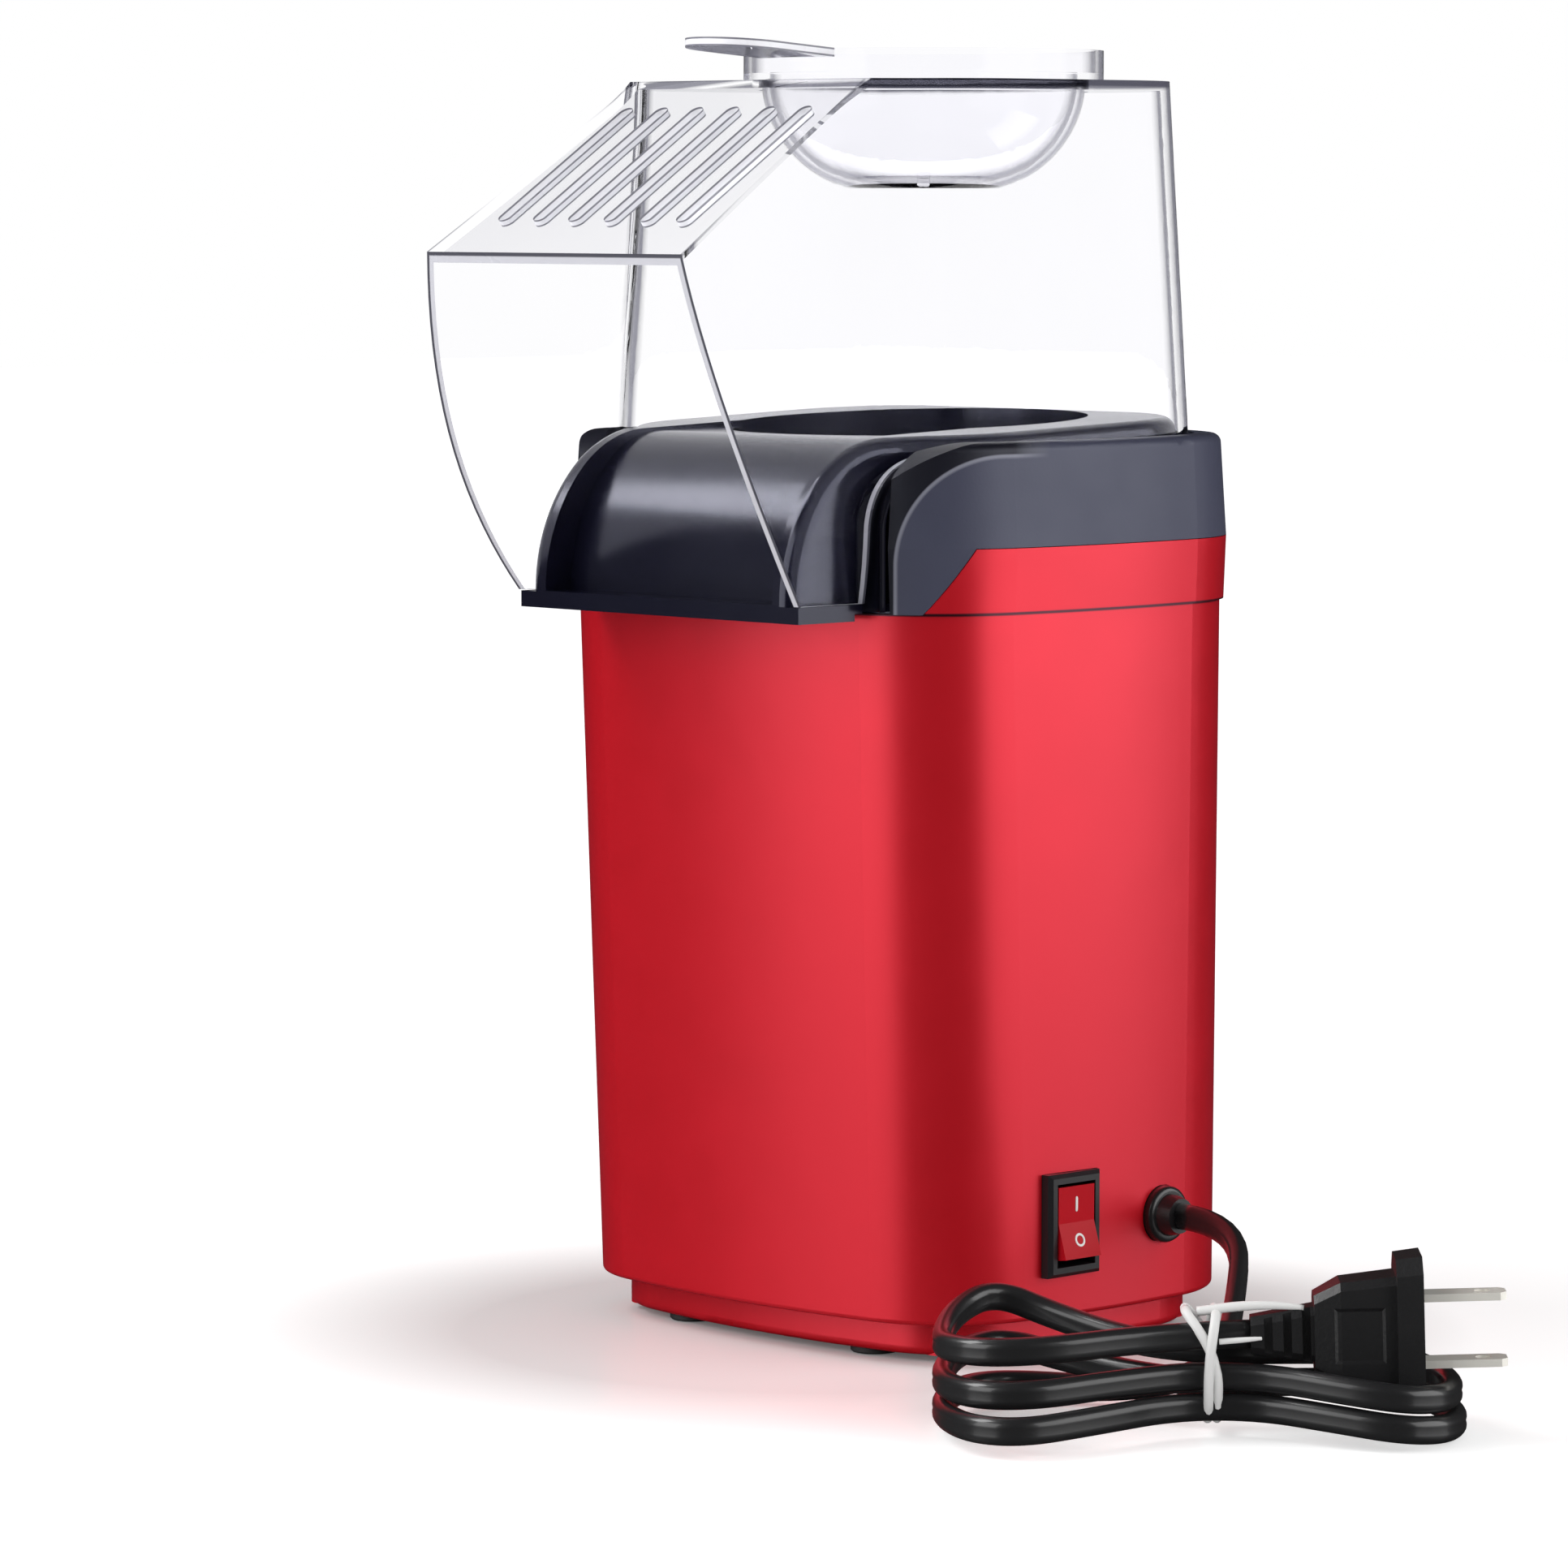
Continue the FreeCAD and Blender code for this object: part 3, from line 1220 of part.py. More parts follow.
def make_switch_housing():
    face = bezel_face()
    back = bezel_back()
    bezel = switch_block(BEZEL_HEIGHT, BEZEL_WIDTH, back, face)
    front_edges = [e for e in bezel.Edges if e.BoundBox.XMin > face - 1e-3]
    bezel = bezel.makeChamfer(BEZEL_CHAMFER, front_edges)
    body = switch_block(SWITCH_BODY_HEIGHT, SWITCH_BODY_WIDTH, back - SWITCH_BODY_DEPTH, back)
    well_height = BEZEL_HEIGHT - 2 * BEZEL_FRAME
    well_width = BEZEL_WIDTH - 2 * BEZEL_FRAME
    well = switch_block(well_height, well_width, face - SWITCH_WELL, face + 1)
    housing = bezel.fuse(body).cut(well)
    pin_half = SWITCH_BODY_WIDTH / 2
    p = pivot()
    return housing.cut(rod(PIN_R + RUN_FIT, p - V(0, pin_half, 0), p + V(0, pin_half, 0)))


def make_rocker():
    """Dished rocker key on a hub, drawn level and then tipped to on."""
    p = pivot()
    half_width = BEZEL_WIDTH / 2 - BEZEL_FRAME - ROCKER_GAP
    top = PIN_SUNK + ROCKER_PROUD - ROCKER_DISH / 2
    dish = top - ROCKER_DISH
    skirt = ROCKER_HALF - 1.4
    points = [
        (dish, 0),
        (top, ROCKER_HALF),
        (top - 3.6, ROCKER_HALF),
        (-1.2, skirt - 2.4),
        (-ROCKER_HUB_R, 0),
        (-1.2, 2.4 - skirt),
        (top - 3.6, -ROCKER_HALF),
        (top, -ROCKER_HALF),
        (dish, 0),
    ]
    wire = Part.makePolygon([p + V(x, -half_width, z) for x, z in points])
    key = Part.Face(wire).extrude(V(0, 2 * half_width, 0))
    key = key.cut(rod(PIN_R + RUN_FIT, p - V(0, half_width, 0), p + V(0, half_width, 0)))
    key.rotate(p, V(0, 1, 0), -ROCKER_THROW / 2)
    return key


def make_rocker_pin():
    p = pivot()
    half = SWITCH_BODY_WIDTH / 2 - FIT
    return rod(PIN_R, p - V(0, half, 0), p + V(0, half, 0))


def terminal_z(side):
    return SWITCH_Z + side * TERMINAL_PITCH / 2


def make_switch_terminals():
    x = bezel_back() - SWITCH_BODY_DEPTH
    y0 = SWITCH_Y - TERMINAL_WIDTH / 2
    tabs = []
    for side in (-1, 1):
        z = terminal_z(side)
        low = z - TERMINAL_T / 2
        tabs.append(box(x - TERMINAL_LENGTH, x, y0, y0 + TERMINAL_WIDTH, low, low + TERMINAL_T))
    return Part.makeCompound(tabs)


# Mains lead


def gland_wall():
    return V(side_x(GLAND_Y, GLAND_Z), GLAND_Y, GLAND_Z)


def gland_opening():
    wall = gland_wall()
    hole = rod(GLAND_NECK_R + FIT, wall - V(10, 0, 0), wall + V(5, 0, 0))
    return hole.fuse(rod(GLAND_FLANGE_R + FIT, wall - V(BEZEL_SUNK, 0, 0), wall + V(5, 0, 0)))


def gland_tip():
    return gland_wall() + V(GLAND_FLANGE_T - BEZEL_SUNK + GLAND_NOSE, 0, 0)


def make_strain_relief():
    seat = gland_wall() - V(BEZEL_SUNK, 0, 0)
    flange = rod(GLAND_FLANGE_R, seat, seat + V(GLAND_FLANGE_T, 0, 0))
    face = seat.x + GLAND_FLANGE_T
    flange = flange.makeFillet(1.0, [e for e in flange.Edges if e.BoundBox.XMin > face - 1e-3])
    neck = rod(GLAND_NECK_R, seat - V(GLAND_TAIL, 0, 0), seat)
    cone = Part.makeCone(
        GLAND_NECK_R, GLAND_NOSE_R, GLAND_NOSE, seat + V(GLAND_FLANGE_T, 0, 0), V(1, 0, 0)
    )
    return fused([flange, neck, cone])


def rounded_path(points):
    """Straight runs joined by tangent arcs, and the least arc radius."""
    edges = []
    radii = []
    here = points[0]
    for k in range(1, len(points) - 1):
        before = points[k] - points[k - 1]
        after = points[k + 1] - points[k]
        half_turn = before.getAngle(after) / 2
        run = min(before.Length, after.Length)
        back = 0.45 * run
        radii.append(back / math.tan(half_turn))
        arrive = points[k] - before.normalize() * back
        leave = points[k] + after.normalize() * back
        inward = (arrive + leave) * 0.5 - points[k]
        depth = radii[-1] * (1 / math.cos(half_turn) - 1)
        middle = points[k] + inward.normalize() * depth
        edges.append(Part.LineSegment(here, arrive).toShape())
        edges.append(Part.Arc(arrive, middle, leave).toShape())
        here = leave
    edges.append(Part.LineSegment(here, points[-1]).toShape())
    return Part.Wire(edges), min(radii)


def tube(name, path, radius):
    """Round tube along a smooth path, checked by its volume."""
    start = path.Edges[0].valueAt(path.Edges[0].FirstParameter)
    along = path.Edges[0].tangentAt(path.Edges[0].FirstParameter)
    section = Part.Wire(Part.makeCircle(radius, start, along))
    solid = path.makePipeShell([section], True, False)
    share = solid.Volume / (math.pi * radius ** 2 * path.Length)
    print(name, "length", round(path.Length, 1), "volume to section times length", round(share, 4))
    return solid


def wire_tube(name, points, radius):
    path, least = rounded_path(points)
    print(name, "least bend radius", round(least, 1))
    return tube(name, path, radius)


def hank_point(degrees):
    """Centre line of the tied hank: long loops to both sides of the tie, drawn in at the waist.

    The cord climbs at a steady pitch and a little more at its end. On the right the loops droop to the
    floor; on the left their far runs fan upwards. Pairs of numbers give a size on the first loop and its
    change up to the last.
    """
    angle = math.radians(degrees)
    c = math.cos(angle)
    s = math.sin(angle)
    share = (degrees - HANK_START) / (HANK_END - HANK_START)

    def now(pair):
        return pair[0] + pair[1] * share

    height = HANK_PITCH * (degrees - HANK_START) / 360 + HANK_LIFT * share ** 4
    reach = HANK_LEFT
    belly = now(HANK_LEFT_FAR if s > 0 else HANK_LEFT_NEAR)
    if c > 0:
        reach = now(HANK_RIGHT)
        belly = now(HANK_RIGHT_BELLY)
        height -= now(HANK_DROOP) * c ** 2
    toward = -s * (belly * (1 - s ** 4) + HANK_WAIST * s ** 4)
    if c < 0 < s:
        height += HANK_FAN * share * (toward / belly * c) ** 2
    return HANK_CENTRE + HANK_ALONG * (reach * c) + HANK_TOWARD * toward + V(0, 0, height)


def hank_heading(degrees):
    return (hank_point(degrees + 0.05) - hank_point(degrees - 0.05)).normalize()


def arc_from(start, heading, end):
    """Arc that leaves start along heading and ends at end."""
    chord = end - start
    unit = V(chord).normalize()
    side = heading - unit * heading.dot(unit)
    if side.Length < 1e-6:
        return Part.LineSegment(start, end).toShape()
    half = heading.getAngle(unit) / 2
    middle = (start + end) * 0.5 + side.normalize() * (chord.Length / 2 * math.tan(half))
    return Part.Arc(start, middle, end).toShape()


def biarc(start, heading, end, end_heading):
    """Two arcs, tangent to each other and to the headings at both ends."""
    v = end - start
    t = heading + end_heading
    k = 2 * (1 - heading.dot(end_heading))
    if k < 1e-9:
        d = v.Length / 4
    else:
        vt = v.dot(t)
        d = (math.sqrt(vt ** 2 + k * v.dot(v)) - vt) / k
    joint = (start + heading * d + end - end_heading * d) * 0.5
    second = arc_from(end, end_heading * -1, joint)
    return [arc_from(start, heading, joint), second]


def plug_tail():
    """Rear end of the plug, straight on from the end of the hank."""
    return hank_point(HANK_END) + hank_heading(HANK_END) * PLUG_GAP


def hank_nodes():
    count = round((HANK_END - HANK_START) / 360 * HANK_STEPS)
    return [HANK_START + (HANK_END - HANK_START) * k / count for k in range(count + 1)]


def hank_path():
    nodes = hank_nodes()
    edges = []
    for a, b in zip(nodes, nodes[1:]):
        edges += biarc(hank_point(a), hank_heading(a), hank_point(b), hank_heading(b))
    edges.append(Part.LineSegment(hank_point(HANK_END), plug_tail()).toShape())
    return Part.Wire(Part.__sortEdges__(edges))


def least_gap(points, skip, diameter):
    """Least space between stretches of a tube that are not neighbours, from points on its centre line."""
    least = 1e9
    for i, p in enumerate(points):
        for q in points[i + skip:]:
            least = min(least, p.distanceToPoint(q))
    return least - diameter


def make_cord_hank():
    path = hank_path()
    points = path.discretize(Number=500)
    step = path.Length / 499
    gap = least_gap(points, math.ceil(8 * CORD_R / step), 2 * CORD_R)
    print("cord_hank least gap to itself", round(gap, 2))
    radii = [e.Curve.Radius for e in path.Edges if hasattr(e.Curve, "Radius")]
    print("cord_hank least bend radius", round(min(radii), 1))
    return tube("cord_hank", path, CORD_R)


def make_power_cord():
    start = gland_tip()
    end = hank_point(HANK_START)
    first = start + V(CORD_FIRST_RUN, 0, 0)
    lead_in = end - hank_heading(HANK_START) * CORD_LAST_RUN
    points = [start, first] + [V(*p) for p in CORD_BENDS] + [lead_in, end]
    return wire_tube("power_cord", points, CORD_R)


def make_twist_tie():
    """Flat band round the waist of the hank, with its two ends twisted together on top."""
    low = hank_point(270).z - CORD_R - SLIDE_GAP - TIE_T
    high = hank_point(HANK_END).z + CORD_R + SLIDE_GAP
    half = HANK_WAIST + CORD_R + SLIDE_GAP
    outer = box(-TIE_WIDTH / 2, TIE_WIDTH / 2, -half - TIE_T, half + TIE_T, low, high + TIE_T)
    outer = outer.makeFillet(CORD_R, [e for e in outer.Edges if e.BoundBox.XLength > TIE_WIDTH - 0.1])
    inner = box(-TIE_WIDTH / 2, TIE_WIDTH / 2, -half, half, low + TIE_T, high)
    inner = inner.makeFillet(CORD_R - TIE_T, [e for e in inner.Edges if e.BoundBox.XLength > TIE_WIDTH - 0.1])
    knot = upright(TIE_WIDTH / 2, 0, 0, high, high + 2 * TIE_WIDTH)
    tails = []
    for side in (-1, 1):
        tail = box(0, TIE_TAIL, -TIE_WIDTH / 2, TIE_WIDTH / 2, 0, TIE_T)
        tail.rotate(V(0, 0, 0), V(0, 1, 0), -20)
        tail.rotate(V(0, 0, 0), UP, 90 * (1 - side) + 30)
        tail.translate(V(0, 0, high + TIE_WIDTH))
        tails.append(tail)
    tie = fused([outer.cut(inner), knot] + tails)
    tie.rotate(V(0, 0, 0), UP, 45)
    tie.translate(V(HANK_CENTRE.x, HANK_CENTRE.y, 0))
    return tie


def in_plug_frame(solid):
    """Place a solid drawn along +X from the plug's rear end."""
    axis = hank_heading(HANK_END)
    solid.rotate(V(0, 0, 0), V(0, 1, 0), -math.degrees(math.asin(axis.z)))
    solid.rotate(V(0, 0, 0), UP, math.degrees(math.atan2(axis.y, axis.x)))
    solid.translate(plug_tail())
    return solid


def block_section(x, width, height, cut):
    """Oblong with cut corners, upright across the plug's length."""
    w = width / 2
    h = height / 2
    points = [
        (w, h - cut),
        (w - cut, h),
        (cut - w, h),
        (-w, h - cut),
        (-w, cut - h),
        (cut - w, -h),
        (w - cut, -h),
        (w, cut - h),
        (w, h - cut),
    ]
    return Part.makePolygon([V(x, y, z) for y, z in points])


def make_plug_body():
    body_x = PLUG_TAIL_LENGTH
    flange_x = body_x + PLUG_BODY_LENGTH
    tail = loft([block_section(0, 6.5, 7, 1.5), block_section(body_x + 1, 8.5, 11, 1.5)])
    for k in range(3):
        x = 2.5 + k * 3.6
        gap = box(x, x + 1.6, -6, 6, -8, 8).cut(box(x, x + 1.6, -2.6, 2.6, -8, 8))
        tail = tail.cut(gap)
    body = loft([
        block_section(body_x, PLUG_BODY_WIDTH - 2.5, PLUG_BODY_HEIGHT - 5, 1.5),
        block_section(body_x + 5, PLUG_BODY_WIDTH, PLUG_BODY_HEIGHT, 1.5),
        block_section(flange_x, PLUG_BODY_WIDTH + 1, PLUG_BODY_HEIGHT + 2, 1.5),
    ])
    flange = loft([
        block_section(flange_x, PLUG_FLANGE_WIDTH, PLUG_FLANGE_HEIGHT, 3.0),
        block_section(flange_x + PLUG_FLANGE_T, PLUG_FLANGE_WIDTH + 1, PLUG_FLANGE_HEIGHT + 1, 3.0),
    ])
    return in_plug_frame(fused([tail, body, flange]))


def make_plug_blades():
    x = PLUG_TAIL_LENGTH + PLUG_BODY_LENGTH + PLUG_FLANGE_T
    blades = []
    for side in (-1, 1):
        z = side * BLADE_PITCH / 2
        blade = box(x, x + BLADE_LENGTH, -BLADE_WIDTH / 2, BLADE_WIDTH / 2, z - BLADE_T / 2, z + BLADE_T / 2)
        tip = [e for e in blade.Edges if e.BoundBox.XMin > x + BLADE_LENGTH - 1e-3 and e.BoundBox.ZLength > 1]
        blade = blade.makeChamfer(1.2, tip)
        hole_x = x + BLADE_LENGTH - 4.5
        blades.append(blade.cut(upright(BLADE_HOLE_R, hole_x, 0, z - 2, z + 2)))
    return in_plug_frame(Part.makeCompound(blades))


# Inner wires


def make_lead_live():
    inside = gland_wall() - V(BEZEL_SUNK + GLAND_TAIL, 0, -1.5)
    tab = V(bezel_back() - SWITCH_BODY_DEPTH - TERMINAL_LENGTH, SWITCH_Y, terminal_z(-1))
    turn = V(tab.x - LIVE_REACH, SWITCH_Y + LIVE_SIDE, tab.z)
    points = [inside, inside - V(LIVE_RUN, 0, 0), turn, tab - V(LIVE_REACH, 0, 0), tab]
    return wire_tube("lead_live", points, LEAD_R)


def make_lead_switched():
    tab = V(bezel_back() - SWITCH_BODY_DEPTH - TERMINAL_LENGTH, SWITCH_Y, terminal_z(1))
    foot = thermostat_foot()
    end = V(foot.x - THERMOSTAT_T - SWITCHED_END[0], CHAMBER_Y, THERMOSTAT_Z - SWITCHED_END[1])
    round_duct = [V(x, CHAMBER_Y + y, tab.z + z) for x, y, z in SWITCHED_ROUTE]
    rise = V(end.x, CHAMBER_Y, tab.z + SWITCHED_RISE)
    points = [tab - V(LEAD_R, 0, 0), tab - V(*SWITCHED_RUN)] + round_duct + [rise, end]
    return wire_tube("lead_switched", points, LEAD_R)


def make_lead_neutral():
    inside = gland_wall() - V(BEZEL_SUNK + GLAND_TAIL, 0, 1.5)
    board = V(BOARD_R, CHAMBER_Y + 2, Z_BOARD + BOARD_T / 2)
    points = [inside, inside - V(9, 0, 0), V(34, CHAMBER_Y + 8, Z_BOARD + 4), board + V(9, 0, 0), board]
    return wire_tube("lead_neutral", points, LEAD_R * 0.7)


# Assembly


def assembly():
    parts = {
        "body_shell": make_body_shell(),
        "base_plate": make_base_plate(),
        "base_screws": make_base_screws(),
        "collar": make_collar(),
        "collar_band": make_collar_band(),
        "chute": make_chute(),
        "chute_screws": make_chute_screws(),
        "hood": make_hood(),
        "measuring_cup": make_measuring_cup(),
        "popping_chamber": make_popping_chamber(),
        "chamber_seal": make_chamber_seal(),
        "air_duct": make_air_duct(),
        "duct_screws": make_duct_screws(),
        "heater_card_long": heater_card(0, False),
        "heater_card_cross": heater_card(90, True),
        "heater_coil": make_heater_coil(),
        "thermostat": make_thermostat(),
        "thermal_fuse": make_thermal_fuse(),
        "motor_can": make_motor_can(),
        "motor_end_cap": make_motor_end_cap(),
        "motor_mount": make_motor_mount(),
        "motor_screws": make_motor_screws(),
        "motor_shaft": make_motor_shaft(),
        "fan": make_fan(),
        "rectifier_board": make_rectifier_board(),
        "rectifier_diodes": make_rectifier_diodes(),
        "switch_housing": make_switch_housing(),
        "rocker": make_rocker(),
        "rocker_pin": make_rocker_pin(),
        "switch_terminals": make_switch_terminals(),
        "strain_relief": make_strain_relief(),
        "power_cord": make_power_cord(),
        "cord_hank": make_cord_hank(),
        "twist_tie": make_twist_tie(),
        "plug_body": make_plug_body(),
        "plug_blades": make_plug_blades(),
        "lead_live": make_lead_live(),
        "lead_switched": make_lead_switched(),
        "lead_neutral": make_lead_neutral(),
    }
    names = ("foot_front_left", "foot_front_right", "foot_rear_left", "foot_rear_right")
    for name, place in zip(names, foot_places()):
        parts[name] = make_foot(*place)
    return parts


os.makedirs("parts", exist_ok=True)
for name, solid in assembly().items():
    solid.translate(ROW_SHIFT)
    solid.exportStep("parts/" + name + ".step")
    print(name, solid.isValid(), len(solid.Solids), round(solid.Volume))
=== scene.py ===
import json
import math

import bpy
import numpy as np
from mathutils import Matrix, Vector
from mathutils.bvhtree import BVHTree


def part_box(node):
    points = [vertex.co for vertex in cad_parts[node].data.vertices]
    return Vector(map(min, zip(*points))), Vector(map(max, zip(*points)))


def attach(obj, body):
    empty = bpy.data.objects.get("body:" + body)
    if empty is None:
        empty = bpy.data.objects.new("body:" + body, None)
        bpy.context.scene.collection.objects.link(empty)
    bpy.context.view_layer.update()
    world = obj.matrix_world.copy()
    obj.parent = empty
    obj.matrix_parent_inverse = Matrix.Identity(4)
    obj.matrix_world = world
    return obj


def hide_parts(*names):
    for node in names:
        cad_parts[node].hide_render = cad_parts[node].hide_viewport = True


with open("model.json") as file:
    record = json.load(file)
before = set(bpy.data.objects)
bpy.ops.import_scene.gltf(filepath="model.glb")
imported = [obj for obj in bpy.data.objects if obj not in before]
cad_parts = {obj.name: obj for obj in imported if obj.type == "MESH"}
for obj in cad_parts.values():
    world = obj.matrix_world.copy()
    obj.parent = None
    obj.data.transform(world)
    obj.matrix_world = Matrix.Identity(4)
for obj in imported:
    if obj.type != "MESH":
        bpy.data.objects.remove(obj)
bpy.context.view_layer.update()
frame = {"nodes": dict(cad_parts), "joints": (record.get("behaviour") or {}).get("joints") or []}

bl_info = {
    "name": "Hot-air popcorn maker",
    "version": (1, 0, 0),
    "blender": (4, 5, 0),
    "location": "View3D > Sidebar > Popper",
    "description": "Finishes, mains lead and studio stage of a small hot-air popcorn maker",
    "category": "Object",
}

MM = 0.001
NODES = frame["nodes"]
UP = np.array([0.0, 0.0, 1.0])

# Depth of the cup axis in the shared frame, in millimetres.
ROW_Y = 28.45

# Route of the mains lead, in millimetres from the cup axis and the floor. The hank starts and ends at an angle in
# degrees; a pair of its sizes is the size at the start and the change by the end.
FIRST_RUN = 17.0
LAST_RUN = 20.0
LEAD_BENDS = ((99.0, -11.0, 13.0), (112.0, -30.0, 5.2))
HANK_CENTRE = np.array([134.6, -56.3, 3.7])
HANK_ALONG = np.array([1.0, 1.0, 0.0]) / math.sqrt(2)
HANK_TOWARD = np.array([1.0, -1.0, 0.0]) / math.sqrt(2)
HANK_LEFT = 52.0
HANK_LEFT_NEAR = (58.0, -28.0)
HANK_LEFT_FAR = (56.0, -12.0)
HANK_RIGHT = (47.5, -2.0)
HANK_RIGHT_BELLY = (38.0, -2.0)
HANK_WAIST = 3.3
HANK_PITCH = 5.5
HANK_LIFT = 2.4
HANK_DROOP = (4.2, 0.6)
HANK_FAN = 45.0
HANK_START = 135.0
HANK_END = 990.0
HANK_POINTS = 48
PLUG_GAP = 7.0
PANEL_FROM_TAIL = 20.5
CORD_R = 2.4

# Sunk panel of the plug, in metres: half length and half height, depth, and half the width of its sloping edge.
PANEL_HALF = (0.0045, 0.0050)
PANEL_DEPTH = 0.0005
PANEL_SLOPE = 0.0003

# Rocker key, in millimetres from its pin.
KEY_DISH = 3.15
KEY_TOP = 4.25
KEY_HALF = 7.3
KEY_TILT = 8.0

# Marks on the key, in millimetres: half sizes of the bar; middle line, section and lift of the ring.
BAR_HALF = (0.32, 1.55)
RING_R = 1.15
RING_SECTION = (0.26, 0.12)
RING_LIFT = 0.03

# Reliefs and lines in the finishes, in metres: depth of the grain, and where the seam's shadow begins to fade and ends.
GRAIN_DEPTH = 0.0002
SEAM_FADE = (0.0002, 0.00045)

# Clear sheets: refraction, thickness and widest small opening in metres.
HOOD_IOR = 1.045
CUP_IOR = 1.12
HOOD_SHEET = 0.002
CUP_SHEET = 0.004
SMALL_OPENING = 0.05

# A face with more sheets than this behind it is a cut edge; faces join where their normals' product is greater.
EDGE_SHEETS = 1.8
SAME_SURFACE = 0.94

# Painted shade of the sheet's outline, the range of grazing views where it sets in, and the painted shade line below
# the lid, in metres.
PAINTED_OUTLINE_SHADE = (0.10, 0.10, 0.13)
GRAZING = (0.60, 0.78)
TOP_SHADE_BAND = (0.0019, 0.0011)

# Painted dark outline lines on the cut edges, as shares of the way from the inner to the outer rim: one line, or one at
# each rim.
OUTER_SHADE_LINE = (0.58, 0.70)
SLOT_OUTER_SHADE_LINE = (0.76, 0.82)
SLOT_INNER_SHADE_LINE = (0.18, 0.24)

# Folds of the visor: width of their painted shade lines, and its upper and lower outer corners, in millimetres in the
# shared frame.
FOLD_WIDTH = 0.45
VISOR_TOP = (33.8, -21.55, 257.5)
VISOR_FRONT = (37.6, -75.05, 223.0)

# Swept corner of the collar, in millimetres in the shared frame: centre of its arc in the diagonal of the plan and in
# height, radius, where it fades behind the centre, and where the painted highlight line and the chute's dark set in,
# from the arc.
SWEEP_CENTRE = (36.5, 161.0)
SWEEP_R = 22.0
SWEEP_FADE = (2.0, 9.0)
SWEEP_HIGHLIGHT_LINE = (-0.8, -0.3)
SWEEP_DARK = (0.0, 0.3)

# Hollow cheeks of the chute, in millimetres from the cup axis.
VALLEY_CENTRE = (-43.0, 167.9)
VALLEY_R = 14.4
VALLEY_WALL = 1.5
VALLEY_FOOT = 152.0
VALLEY_SPAN = (38.6, 45.5)
VALLEY_HOLLOW = 1.6

# Camera of the photograph's view.
CAMERA_AT = (0.98288, -0.95443, 0.2360)
CAMERA_LOOKS = (-0.71879, 0.68948, -0.08921)
CAMERA_LENS = 153.1
CAMERA_SENSOR = 36.0
CAMERA_REACH = 50.0

# Soft boxes: place, width and height, in metres; they point at the middle of the machine.
MACHINE_MIDDLE = (0.0, 0.0, 0.12)
FRONT_BOX = ((-0.30, -1.08, 0.42), 1.0, 1.0)
SIDE_BOX = ((1.04, 0.52, 0.40), 1.45, 1.0)
TOP_BOX = ((-0.72, -0.55, 1.05), 0.6, 0.6)

# Surroundings: strength as light on surfaces and in reflections.
SKY_ON_SURFACES = 0.36
SKY_IN_GLOSS = 0.02

# Floor: half its side and its place below the feet, in metres, its share of white in reflections, and its glow, which
# rises between two distances from the middle, near the machine and then farther out.
FLOOR_REACH = 6.0
FLOOR_DROP = 0.0002
FLOOR_IN_GLOSS = 0.05
FLOOR_GLOW_NEAR = (0.075, 0.135, 0.08, 0.56)
FLOOR_GLOW_FAR = (0.2, 1.2, 0.0, 0.39)


class PopperFinish(bpy.types.PropertyGroup):
    """Colours of the machine."""

    body_red: bpy.props.FloatVectorProperty(
        name="Body red", description="Satin lacquer of the housing, its band and its base",
        subtype="COLOR", size=3, min=0.0, max=1.0, default=(0.74, 0.003, 0.009))
    collar_black: bpy.props.FloatVectorProperty(
        name="Collar black", description="Blue-black moulding of the collar",
        subtype="COLOR", size=3, min=0.0, max=1.0, default=(0.054, 0.057, 0.092))
    chute_black: bpy.props.FloatVectorProperty(
        name="Chute black", description="Polished blue-black moulding of the chute",
        subtype="COLOR", size=3, min=0.0, max=1.0, default=(0.005, 0.005, 0.012))
    clear_tint: bpy.props.FloatVectorProperty(
        name="Clear tint", description="Faint lavender of the clear mouldings",
        subtype="COLOR", size=3, min=0.0, max=1.0, default=(0.985, 0.984, 0.996))
    rocker_red: bpy.props.FloatVectorProperty(
        name="Rocker red", description="Translucent red of the switch key",
        subtype="COLOR", size=3, min=0.0, max=1.0, default=(0.46, 0.004, 0.012))
    cord_black: bpy.props.FloatVectorProperty(
        name="Cord black", description="Vinyl of the lead, plug and strain relief",
        subtype="COLOR", size=3, min=0.0, max=1.0, default=(0.014, 0.014, 0.015))


class PopperLead(bpy.types.PropertyGroup):
    """Sizes of the mains lead and its tie."""

    width: bpy.props.FloatProperty(
        name="Cord width", description="Wide side of the flat twin cord",
        unit="LENGTH", min=0.003, max=0.009, default=0.0054)
    thickness: bpy.props.FloatProperty(
        name="Cord thickness", description="Narrow side of the flat twin cord",
        unit="LENGTH", min=0.002, max=0.006, default=0.0042)
    groove: bpy.props.FloatProperty(
        name="Groove", description="Depth of the groove between the two cores, as a share of the half thickness",
        min=0.0, max=0.5, default=0.16)
    tie_wire: bpy.props.FloatProperty(
        name="Tie wire", description="Thickness of the white tie",
        unit="LENGTH", min=0.0005, max=0.003, default=0.0019)


class PopperStage(bpy.types.PropertyGroup):
    """Lamps and floor."""

    front_lamp: bpy.props.FloatProperty(
        name="Front lamp", description="Soft box to the left of the front", unit="POWER", min=0, default=8.5)
    side_lamp: bpy.props.FloatProperty(
        name="Side lamp", description="Soft box beyond the switch side", unit="POWER", min=0, default=11.5)
    top_lamp: bpy.props.FloatProperty(
        name="Top lamp", description="Small soft box overhead, to the left", unit="POWER", min=0, default=8.0)
    floor_white: bpy.props.FloatProperty(
        name="Floor white", description="Lightness of the floor", subtype="FACTOR", min=0, max=1, default=0.86)


# Shader node groups


